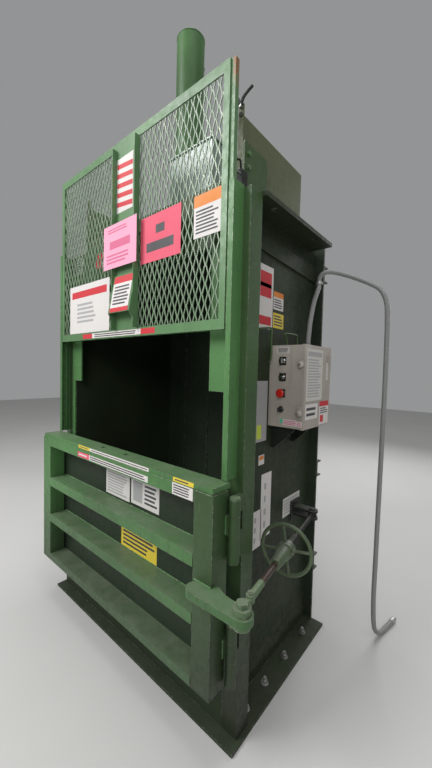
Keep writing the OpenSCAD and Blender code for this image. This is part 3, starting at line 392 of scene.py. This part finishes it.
def plastic(name, base, rough=0.4, dust=0.25):
    """Moulded plastic under a thin film of dust."""
    g = Graph(name)
    film = g.ramp(g.noise(30, 5, 0.7), 0.4, 0.75, 0, dust)
    color = g.mix(film, base, shade(base, 0.7, 0.08))
    g.bump(g.noise(500, 2), 0.08, 0.0003)
    return g.finish(color, g.ramp(film, 0, 0.3, rough, rough + 0.2))


def paper(name, base, gloss=0.55, faded=0.2):
    """A printed sheet or sticker, faded and scuffed a little."""
    g = Graph(name)
    fade = g.ramp(g.noise(7, 5, 0.6), 0.35, 0.75, 0, faded)
    color = g.mix(fade, base, shade(base, 0.75, 0.06))
    scuff = g.ramp(g.noise(45, 8, 0.8), 0.66, 0.72, 0, 0.5)
    color = g.mix(scuff, color, shade(base, 0.55))
    g.bump(g.noise(120, 3), 0.08, 0.0004)
    return g.finish(color, g.ramp(fade, 0, 0.2, gloss, gloss + 0.15))


DOOR_TONE = (0.080, 0.200, 0.066)
WORN_TONE = (0.120, 0.200, 0.096)
# Painted shade low on the posts and latch bar
POST_FOOT_SHADE = (0.018, 0.019, 0.014)
MOSSY_SOIL = (0.034, 0.040, 0.026)

GREEN = painted("green_paint", DOOR_TONE, wear=0.55, dirt=0.45)
# The door's green darkened towards the floor: painted shade on its lower shelf, rail and stile
DOOR_FOOT_SHADED_GREEN = painted("door_green_paint", DOOR_TONE, wear=0.55, dirt=0.45, foot=0.95, foot_dirt_and_shade=GRIME,
                     foot_dirt_and_shade_share=0.75)
CYLINDER_GREEN = painted("cylinder_green_paint", (0.046, 0.124, 0.034), wear=0.4, dirt=0.5)
# A darker copy of the door's green on the posts, header, hinge brackets and latch bar: painted shade, darker
# still towards the floor
SHADED_POST_GREEN = painted("post_green_paint", (0.050, 0.101, 0.036), wear=0.6, dirt=0.6, foot=0.9,
                     foot_dirt_and_shade=POST_FOOT_SHADE, foot_dirt_and_shade_share=0.85)
BASE_GREEN = painted("foot_green_paint", (0.024, 0.038, 0.018), wear=0.8, dirt=0.6, rough=0.6, foot=0.07,
                     gloss=0.2, foot_dirt_and_shade=MOSSY_SOIL, up_face_share=0.2)
# Near-black green on the side walls and roof plate: painted shade under the roof ledge, with floor dust at
# the foot
SHADED_WALL_GREEN = painted("wall_green_paint", (0.027, 0.040, 0.021), wear=0.35, dirt=0.5, rough=0.5, foot=0.12,
                     gloss=0.2)
PANEL_GREEN = painted("panel_green_paint", (0.112, 0.130, 0.060), wear=0.2, dirt=0.3, rough=0.45)
GUSSET_GREEN = painted("gusset_green_paint", (0.052, 0.100, 0.032), wear=0.4, dirt=0.3)
# Near-black green in the chamber, on the platen and the door's skin: painted shade inside the chamber, over
# heavy wear and dirt
SHADED_CHAMBER_GREEN = painted("chamber_green_paint", (0.022, 0.036, 0.020), wear=0.9, dirt=0.9, rough=0.55)
GATE_GREEN = painted("light_green_paint", (0.108, 0.222, 0.096), wear=0.35, dirt=0.25, rough=0.36,
                     rust_from=(0.661, 2.515))
MESH_GREEN = painted("mesh_green_paint", (0.200, 0.300, 0.185), wear=0.5, dirt=0.3, rough=0.35)
WHEEL_GREEN = painted("handled_green_paint", (0.105, 0.150, 0.080), wear=0.9, dirt=0.6, edge=0.006)
HANDLED = painted("worn_green_paint", WORN_TONE, wear=1.0, dirt=0.5, edge=0.005)
# The thread behind the eye is bare and greasy
SCREW_PAINT = painted("screw_paint", WORN_TONE, wear=1.0, dirt=0.5, edge=0.005,
                      stripped=(SCREW_LINE, -0.55, 0.150, (0.070, 0.045, 0.032)))
# The bolts below 2.2 m are bright, those above it are painted over
BOLT_PAINT = painted("bolt_paint", (0.098, 0.205, 0.084), wear=0.6, dirt=0.3,
                     stripped=((0, 0, -1), -2.2, 0.0, (0.62, 0.61, 0.58)))
TANK_GREY = painted("tank_grey_paint", (0.42, 0.52, 0.47), wear=0.2, dirt=0.3, rough=0.22, gloss=0.5)
BOX_GREY = painted("box_grey_paint", (0.50, 0.455, 0.40), wear=0.25, dirt=0.3, rough=0.42)
DARK = painted("dark_paint", (0.014, 0.018, 0.014), wear=0.5, dirt=0.4, rough=0.55)
ROD_DARK = painted("greased_paint", (0.022, 0.022, 0.017), wear=0.3, dirt=0.8, rough=0.6, gloss=0.2)
WORN = metal("worn_steel", (0.5, 0.48, 0.45), rust=0.3, rough=0.36)
CHROME = metal("chromed_rod", (0.75, 0.75, 0.74), rust=0.0, rough=0.14, oil=0.15)
ZINC = metal("zinc_steel", (0.55, 0.55, 0.53), rust=0.25, rough=0.42, metallic=0.85)
BLACK = plastic("black_plastic", (0.02, 0.02, 0.02), 0.35)
RED = plastic("red_plastic", (0.55, 0.018, 0.012), 0.25, 0.1)
SLEEVE = plastic("grey_sleeving", (0.25, 0.255, 0.25), 0.5, 0.4)
WHITE = paper("white_print", (0.66, 0.63, 0.61))
PINK = paper("pink_paper", (0.80, 0.36, 0.50), 0.7)
ROSE = paper("rose_paper", (0.72, 0.10, 0.16), 0.7)
PRINT_RED = paper("red_print", (0.55, 0.02, 0.03))
ORANGE = paper("orange_print", (0.70, 0.22, 0.03))
YELLOW = paper("yellow_print", (0.72, 0.56, 0.05))
LIME = paper("lime_print", (0.55, 0.66, 0.08))
INK = paper("dark_print", (0.05, 0.05, 0.055))
MINT = paper("mint_sticker", (0.10, 0.50, 0.30))
FAINT = paper("grey_print", (0.36, 0.36, 0.36))
PALE_INK = paper("rose_print", (0.62, 0.12, 0.24))
PLATE = paper("label_plate", (0.58, 0.56, 0.52), 0.4, 0.3)

FINISHES = {
    SHADED_WALL_GREEN: "side_wall_right side_wall_left roof_plate",
    PANEL_GREEN: "upper_panel_right upper_panel_left",
    GUSSET_GREEN: "gusset_right gusset_left",
    BASE_GREEN: "base_frame",
    SHADED_POST_GREEN: "post_right post_left header hinge_brackets latch_bar",
    GREEN: "jamb_right jamb_left guide_right guide_left",
    DOOR_FOOT_SHADED_GREEN: "door_top_bar door_shelf_upper door_shelf_lower door_bottom_rail door_stile latch_lever",
    CYLINDER_GREEN: "press_cylinder cylinder_flange",
    SHADED_CHAMBER_GREEN: "chamber_floor back_wall platen door_pan",
    GATE_GREEN: "gate_frame gate_channel",
    MESH_GREEN: "gate_mesh",
    WHEEL_GREEN: "handwheel",
    HANDLED: "lever_bolt hinge_pins",
    SCREW_PAINT: "screw_eye",
    BOLT_PAINT: "hex_bolts",
    TANK_GREY: "oil_tank pump_motor",
    BOX_GREY: "control_box box_cover",
    DARK: "box_bracket screw_bracket gate_switch",
    ROD_DARK: "link_rod screw_pin",
    WORN: "valve_block",
    CHROME: "piston_rod button_bezels selector_knob start_button",
    ZINC: "anchor_bolts filler_cap gate_switch_plunger conduit_clip conduit_gland conduit_fitting",
    BLACK: "key_switch",
    RED: "stop_button",
    SLEEVE: "conduit",
}

for finish, names in FINISHES.items():
    for node in names.split():
        for material_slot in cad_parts[node].material_slots:
            material_slot.material = finish


# Conduit: a ribbed metal hose under a grey sleeve, four rings to a rib
def make_conduit():
    line = catmull(CONDUIT, 12)
    total = path_length(line)
    count = int(total / RIB_PITCH * 4)
    path = spaced(line, total, count)
    radii = [CONDUIT_D / 2 - (RIB_DEPTH if n % 4 in (2, 3) else 0) for n in range(count + 1)]
    verts, faces = tube_rings(path, radii, 14)
    hose = mesh_object("conduit_hose", verts, faces, [SLEEVE], smooth=True)
    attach(hose, "frame")
    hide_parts("conduit")


make_conduit()


# Labels: thin sheets with plain fields of colour
def label(name, body, corner, facing, size, ground, fields=(), thick=SHEET_THICK,
          shape=((0, 0), (1, 0), (1, 1), (0, 1))):
    """A sheet from its lower left corner; each field is a material and its outline in shares of the sheet.

    An outline is a box (left, bottom, right, top) or a list of corners."""
    across, up = (Vector(v) for v in facing)
    out = across.cross(up)
    corner = Vector(corner)
    verts = []
    faces = []
    indices = []
    used = [ground]

    def slab(outline, low, high, index):
        start = len(verts)
        n = len(outline)
        for level in (low, high):
            for u, v in outline:
                verts.append(corner + across * (u * size[0]) + up * (v * size[1]) + out * level)
        faces.append(tuple(reversed(range(start, start + n))))
        faces.append(tuple(range(start + n, start + 2 * n)))
        for k in range(n):
            m = (k + 1) % n
            faces.append((start + k, start + m, start + n + m, start + n + k))
        indices.extend([index] * (n + 2))

    slab(shape, 0, thick, 0)
    for field_material, outline in fields:
        if field_material not in used:
            used.append(field_material)
        if not isinstance(outline[0], tuple):
            left, bottom, right, top = outline
            outline = [(left, bottom), (right, bottom), (right, top), (left, top)]
        slab(outline, thick * 0.5, thick + PRINT_THICK, used.index(field_material))
    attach(mesh_object(name, verts, faces, used, indices), body)


def lines(material, left, right, bottom, top, count, ragged=0.25):
    """Plain bars of uneven length in place of print."""
    bars = []
    step = (top - bottom) / count
    for n in range(count):
        low = bottom + (n + 0.25) * step
        end = right - random.random() * ragged * (right - left)
        bars.append((material, (left, low, end, low + 0.5 * step)))
    return bars


def stripes(material, bottom, top, count, slant, margin=0.02):
    """Slanted bars across the whole width."""
    step = (top - bottom) / count
    bars = []
    for n in range(count):
        low = bottom + n * step
        high = low + 0.5 * step
        bars.append((material, [(margin, low + slant), (1 - margin, low), (1 - margin, high),
                                (margin, low + slant + 0.5 * step)]))
    return bars


def gate_labels():
    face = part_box("gate_frame")[0][1] * 1000 - SUNK
    mesh_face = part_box("gate_mesh")[0][1] * 1000 - SUNK
    channel_tips = -89.0 - SUNK
    label("gate_stripe_label", "gate", mm(-57, face, 2236), FRONT, mm(134, 262), WHITE,
          stripes(PRINT_RED, 0.06, 0.94, 5, 0.055))
    label("pink_sheet", "gate", mm(-131, channel_tips, 1960), FRONT, mm(277, 214), PINK,
          lines(PALE_INK, 0.14, 0.8, 0.8, 0.92, 2) + [(PALE_INK, (0.2, 0.44, 0.82, 0.62))]
          + lines(PALE_INK, 0.1, 0.86, 0.1, 0.34, 3))
    label("rose_sheet", "gate", mm(139, mesh_face, 1949), FRONT, mm(270, 207), ROSE,
          [(INK, (0.4, 0.58, 0.62, 0.76)), (INK, (0.16, 0.22, 0.84, 0.42))])
    label("white_sheet", "gate", mm(-556, mesh_face, 1662), FRONT, mm(432, 277), WHITE,
          [(PRINT_RED, (0.06, 0.74, 0.94, 0.88))] + lines(FAINT, 0.2, 0.7, 0.2, 0.64, 5))
    label("orange_headed_label", "gate", mm(484, mesh_face, 1985), FRONT, mm(140, 165), WHITE,
          [(ORANGE, (0, 0.72, 1, 1))] + lines(INK, 0.08, 0.92, 0.08, 0.66, 7))
    label("rail_strip", "gate", mm(-393, face, 1627), FRONT, mm(648, 26), WHITE,
          [(PRINT_RED, (0, 0, 0.16, 1)), (PRINT_RED, (0.84, 0, 1, 1))]
          + lines(INK, 0.2, 0.8, 0.1, 0.9, 2, 0.05))
    # The plate on the handle's slope leans with it
    lean = Vector((0, 34, 190)).normalized()
    label("handle_label", "gate", mm(-46, -107, 1738), ((1, 0, 0), lean), mm(152, 182), WHITE,
          [(PRINT_RED, (0, 0.8, 1, 1)), (PRINT_RED, (0, 0, 1, 0.12))] + lines(INK, 0.1, 0.92, 0.18, 0.74, 6))


def door_labels():
    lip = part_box("door_shelf_upper")[0][1] * 1000 - SUNK
    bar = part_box("door_shelf_upper")[0][1] * 1000 + 4 - SUNK
    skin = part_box("door_pan")[0][1] * 1000 - SUNK
    label("bar_strip_yellow", "door", mm(-264, bar, 1032), FRONT, mm(116, 16), YELLOW,
          lines(INK, 0.1, 0.9, 0.25, 0.75, 1))
    label("bar_strip_white", "door", mm(-147, bar, 1032), FRONT, mm(484, 16), WHITE,
          lines(INK, 0.03, 0.98, 0.25, 0.75, 1, 0.02))
    label("lip_strip_red", "door", mm(-264, lip, 987), FRONT, mm(117, 26), ROSE,
          lines(WHITE, 0.08, 0.92, 0.2, 0.8, 1))
    label("lip_strip_white", "door", mm(-146, lip, 987), FRONT, mm(483, 26), WHITE,
          lines(INK, 0.02, 0.98, 0.1, 0.9, 2, 0.05))
    label("corner_label_head", "door", mm(489, bar, 1031.5), FRONT, mm(112, 17), YELLOW,
          lines(INK, 0.1, 0.85, 0.2, 0.8, 1))
    label("corner_label", "door", mm(489, lip, 983), FRONT, mm(112, 46), WHITE,
          lines(INK, 0.06, 0.94, 0.08, 0.92, 4))
    label("bay_sign_left", "door", mm(-135, skin, 800), FRONT, mm(212, 172), WHITE,
          [(ORANGE, (0, 0.78, 1, 1))] + lines(FAINT, 0.06, 0.94, 0.06, 0.72, 8))
    label("bay_sign_right", "door", mm(90, skin, 806), FRONT, mm(212, 166), WHITE,
          [(PRINT_RED, (0, 0.8, 1, 1)), (FAINT, (0.08, 0.1, 0.42, 0.7))] + lines(INK, 0.5, 0.94, 0.1, 0.7, 5))
    label("bay_sign_yellow", "door", mm(10, skin, 566), FRONT, mm(281, 101), YELLOW,
          lines(INK, 0.06, 0.94, 0.1, 0.9, 4))
    label("bay_sign_low", "door", mm(431, skin, 417), FRONT, mm(86, 92), WHITE,
          [(PRINT_RED, (0, 0.72, 1, 1)), (PRINT_RED, (0, 0, 1, 0.14))] + lines(INK, 0.1, 0.9, 0.2, 0.66, 3))


def frame_labels():
    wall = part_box("upper_panel_right")[1][0] * 1000
    label("wall_sign", "frame", mm(wall, 218, 1662), RIGHT, mm(127, 285), WHITE,
          [(PRINT_RED, (0.12, 0.5, 0.88, 0.9)), (WHITE, (0.12, 0.66, 0.88, 0.72)),
           (PRINT_RED, (0.1, 0.06, 0.9, 0.2))])
    label("wall_label_orange", "frame", mm(wall, 352, 1762), RIGHT, mm(93, 85), WHITE,
          [(ORANGE, (0, 0.7, 1, 1))] + lines(INK, 0.08, 0.92, 0.08, 0.62, 4))
    label("wall_label_yellow", "frame", mm(wall, 352, 1675), RIGHT, mm(99, 71), YELLOW,
          lines(INK, 0.08, 0.92, 0.12, 0.9, 4))
    label("wall_strip", "frame", mm(wall, 229, 1141), RIGHT, mm(93, 281), FAINT,
          [(LIME, (0.1, 0.05, 0.5, 0.28))])
    label("hanging_sheet_1", "frame", mm(wall, 214, 640), RIGHT, mm(84, 178), WHITE,
          lines(FAINT, 0.3, 0.5, 0.1, 0.9, 3))
    label("hanging_sheet_2", "frame", mm(wall, 292, 668), RIGHT, mm(90, 312), WHITE,
          lines(FAINT, 0.3, 0.5, 0.1, 0.9, 4))
    label("maker_plate", "frame", mm(wall, 510, 698), RIGHT, mm(190, 101), PLATE,
          lines(FAINT, 0.06, 0.94, 0.1, 0.9, 5))
    label("small_tag", "frame", mm(wall, 262, 1030), RIGHT, mm(48, 46), WHITE,
          [(ORANGE, (0.1, 0.5, 0.9, 0.9))])
    label("lime_label", "frame", mm(wall, 640, 1136), RIGHT, mm(70, 84), LIME,
          lines(INK, 0.1, 0.9, 0.1, 0.9, 4))
    label("pink_label", "frame", mm(wall, 712, 1140), RIGHT, mm(66, 80), PINK,
          lines(INK, 0.1, 0.9, 0.1, 0.9, 4))
    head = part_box("header")[0][1] * 1000
    label("header_label_grey", "frame", mm(-634, head, 2040), FRONT, mm(124, 96), FAINT,
          lines(INK, 0.08, 0.92, 0.1, 0.9, 5))
    label("header_label_red", "frame", mm(-367, head, 2034), FRONT, mm(146, 84), WHITE,
          [(PRINT_RED, (0, 0, 0.5, 1))] + lines(INK, 0.55, 0.95, 0.1, 0.9, 5))


def box_labels():
    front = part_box("control_box")[0][1] * 1000
    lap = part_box("box_cover")[0][1] * 1000
    # The cover's hinge knuckles stand out 9 mm past its sheet
    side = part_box("box_cover")[1][0] * 1000 - 9
    label("legend_plate", "frame", mm(653, front, 1551), FRONT, mm(62, 28), WHITE,
          lines(INK, 0.08, 0.92, 0.12, 0.88, 4))
    # A black plate behind each of the upper three operators
    pitch, width, height, plate_thick = 74, 34, 38, 0.0014
    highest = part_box("button_bezels")[1][2] * 1000 - 15
    for n in range(3):
        label("button_plate_%d" % (n + 1), "frame", mm(668, front, highest - pitch * n - height / 2), FRONT,
              mm(width, height), BLACK, (), plate_thick)
    label("box_foot_label", "frame", mm(694, front, 1222), FRONT, mm(68, 27), WHITE,
          lines(PALE_INK, 0.04, 0.98, 0.1, 0.9, 3, 0.1))
    label("lap_foot_label", "cover", mm(765, lap, 1222), FRONT, mm(27, 26), WHITE,
          lines(PALE_INK, 0.1, 0.9, 0.1, 0.9, 3, 0.1))
    corners = [math.pi * k / 10 for k in range(20)]
    ring = [(0.5 + 0.5 * math.cos(a), 0.5 + 0.5 * math.sin(a)) for a in corners]
    label("green_dot", "frame", mm(677, front, 1228), FRONT, mm(22, 22), MINT, (), 0.0004, ring)
    label("cover_plate", "cover", mm(side, 352, 1336), RIGHT, mm(176, 236), PLATE,
          [(FAINT, (0.06, 0.86, 0.94, 0.95))] + lines(FAINT, 0.08, 0.92, 0.06, 0.82, 14))
    label("cover_label_low", "cover", mm(side, 352, 1252), RIGHT, mm(132, 70), WHITE,
          lines(INK, 0.08, 0.92, 0.14, 0.86, 2))
    label("cover_label_rear", "cover", mm(side, 506, 1216), RIGHT, mm(108, 112), WHITE,
          [(PRINT_RED, (0.1, 0.1, 0.45, 0.4)), (PRINT_RED, (0, 0.78, 1, 1))]
          + lines(INK, 0.1, 0.92, 0.46, 0.74, 3))
    label("cover_strip", "cover", mm(side, 575, 1432), RIGHT, mm(20, 84), WHITE,
          lines(FAINT, 0.2, 0.8, 0.1, 0.9, 6))


gate_labels()
door_labels()
frame_labels()
box_labels()


# Weld beads where plates meet
def weld(name, body, points, radius):
    """A bead of overlapping ripples along a line, three rings to a ripple."""
    line = [Vector(p) for p in points]
    total = path_length(line)
    count = max(4, int(total / (radius * 0.9)) * 3)
    path = spaced(line, total, count)
    radii = [radius * (1.0, 0.86, 0.72)[n % 3] * (0.92 + 0.16 * random.random()) for n in range(count + 1)]
    verts, faces = tube_rings(path, radii, 8)
    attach(mesh_object(name, verts, faces, [GREEN], smooth=True), body)


def make_welds():
    low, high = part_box("latch_bar")
    lever_low, lever_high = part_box("latch_lever")
    front = low[1]
    seam = front - 0.001
    for n, z in enumerate((lever_low[2], lever_high[2])):
        weld("lever_weld_%d" % n, "latch", [(low[0] + 0.01, seam, z), (0.699, seam, z)], 0.005)
    # At the knuckles of the latch bar and of the door
    for bottom, top in ((865, 939), (395, 469)):
        for side, body, x in (("right", "latch", 701), ("left", "door", -701)):
            ends = [mm(x, -82, bottom + 2), mm(x, -82, top - 3)]
            weld("hinge_weld_%s_%d" % (side, bottom), body, ends, 0.004)
    cap = (front - 0.0005, high[2] - 0.001)
    weld("bar_cap_weld", "latch", [(low[0] + 0.004, *cap), (0.697, *cap)], 0.0025)
    for name, z in (("door_shelf_upper", 788), ("door_shelf_lower", 562)):
        weld(name + "_weld", "door", [mm(-600, -60.5, z), mm(598, -60.5, z)], 0.003)


make_welds()


# Small fittings: bent rods, rollers and clamps, in millimetres
def rod(name, points, radius, material):
    """A round bar bent along a smooth line."""
    line = catmull([mm(*q) for q in points], 8)
    verts, faces = tube_rings(line, [radius / 1000] * len(line), 12)
    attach(mesh_object(name, verts, faces, [material], smooth=True), "frame")


def turned(name, body, centre, profile, material, sides=28):
    """A turned piece that points to the front: a profile of distances along its axis and radii."""
    axis = Vector((0, -1, 0))
    across = axis.orthogonal().normalized()
    other = axis.cross(across)
    verts = []
    for along, radius in profile:
        for k in range(sides):
            a = 2 * math.pi * k / sides
            verts.append(Vector(mm(*centre)) + axis * along / 1000
                         + (across * math.cos(a) + other * math.sin(a)) * radius / 1000)
    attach(mesh_object(name, verts, ring_faces(len(profile), sides), [material]), body)


def make_fittings():
    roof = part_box("control_box")[1][2] * 1000
    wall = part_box("side_wall_right")[1][0] * 1000
    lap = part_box("box_cover")[0][1] * 1000
    rod("box_top_handle", [(655, 424, roof - 3), (655, 416, roof + 34), (655, 396, roof + 56),
                           (655, 420, roof + 62), (655, 500, roof + 64), (655, 522, roof + 58),
                           (655, 528, roof + 30), (655, 530, roof - 3)], 5, GUSSET_GREEN)
    rod("wall_hook", [(wall - 1, 206, 1650), (wall + 10, 210, 1652), (wall + 15, 226, 1656),
                      (wall + 15, 286, 1664), (wall + 15, 298, 1656), (wall + 15, 300, 1620),
                      (wall + 14, 302, 1530), (wall - 1, 304, 1512)], 5, GUSSET_GREEN)
    for n, z in enumerate((1500, 1284)):
        turned("lid_clamp_%d" % (n + 1), "cover", (777, lap + 1, z),
               [(0, 15), (5, 15), (9, 13.5), (12, 10), (13, 5)], BOX_GREY)
        turned("lid_clamp_screw_%d" % (n + 1), "cover", (777, lap - 11, z),
               [(0, 6), (4.4, 6), (5, 5.2)], ZINC)
    # The cable sheave's bracket on the tip of the upper panel's flange
    flange_low, flange_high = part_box("upper_panel_right")
    tip = flange_high[2] * 1000
    face = flange_low[1] * 1000
    rod("sheave_arm", [(556, face - 6, tip + 74), (574, face - 6, tip + 50), (592, face - 6, tip + 20),
                       (604, face - 6, tip - 8), (612, face, tip + 22), (624, face + 12, tip + 48),
                       (638, face + 24, tip + 70)], 6.5, DARK)
    turned("sheave_bolt", "frame", (604, face + 8, tip - 10), [(0, 7), (19, 7), (20, 5)], ZINC)
    turned("sheave_roller", "frame", (576, face + 6, tip + 48),
           [(0, 11), (2, 13), (4, 10), (14, 10), (16, 13), (18, 11)], ZINC)
    turned("flange_bolt", "frame", (603, face + 8, tip - 40), [(0, 8), (13, 8), (14, 6.5)], DARK)
    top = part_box("gate_switch")[1][2] * 1000
    rod("switch_arm", [(650, 30, top - 2), (650, 22, top + 16), (656, 10, top + 32), (648, 3, top + 37),
                       (634, -2, top + 30), (622, -5, top + 14)], 4, DARK)


make_fittings()

# Each lamp: name, place, the point it looks at, width in metres, power in watts
LAMPS = (("key", (-2.0, -3.8, 4.8), (0, 0, 1.5), 2.6, 270),
         ("overhead", (0.2, 0.2, 6.4), (0, 0.2, 1.4), 2.4, 110),
         ("camera_fill", (2.6, -3.6, 3.4), (0.5, 0, 1.7), 1.8, 55),
         ("right_fill", (4.6, -1.2, 5.4), (0.6, 0.4, 2.2), 2.0, 40),
         ("rear_fill", (0.5, 5.2, 3.4), (0, 0.6, 1.4), 2.6, 100))
SKY = (0.86, 0.87, 0.88, 1)
SKY_STRENGTH = 0.34
FLOOR_HALF = 14
FLOOR_DROP = 0.0005


# Floor, light and background
def make_stage():
    g = Graph("studio_floor")
    tone = g.mix(g.noise(0.8, 3), (0.50, 0.495, 0.48), (0.57, 0.565, 0.55))
    g.bump(g.noise(40, 3), 0.05, 0.001)
    corners = [(x * FLOOR_HALF, y * FLOOR_HALF, 0) for x, y in ((-1, -1), (1, -1), (1, 1), (-1, 1))]
    floor = mesh_object("studio_floor", corners, [(0, 1, 2, 3)], [g.finish(tone, 0.6)])
    floor.location = (0, 0, -FLOOR_DROP)
    world = bpy.data.worlds.new("studio")
    bpy.context.scene.world = world
    world.use_nodes = True
    sky = world.node_tree.nodes["Background"]
    sky.inputs["Color"].default_value = SKY
    sky.inputs["Strength"].default_value = SKY_STRENGTH
    for name, at, aim, width, power in LAMPS:
        data = bpy.data.lights.new(name, "AREA")
        data.shape = "SQUARE"
        data.size = width
        data.energy = power
        lamp = add_object(name, data)
        lamp.location = at
        lamp.rotation_euler = (Vector(aim) - Vector(at)).to_track_quat("-Z", "Y").to_euler()


make_stage()
bpy.context.scene.view_settings.view_transform = "Standard"
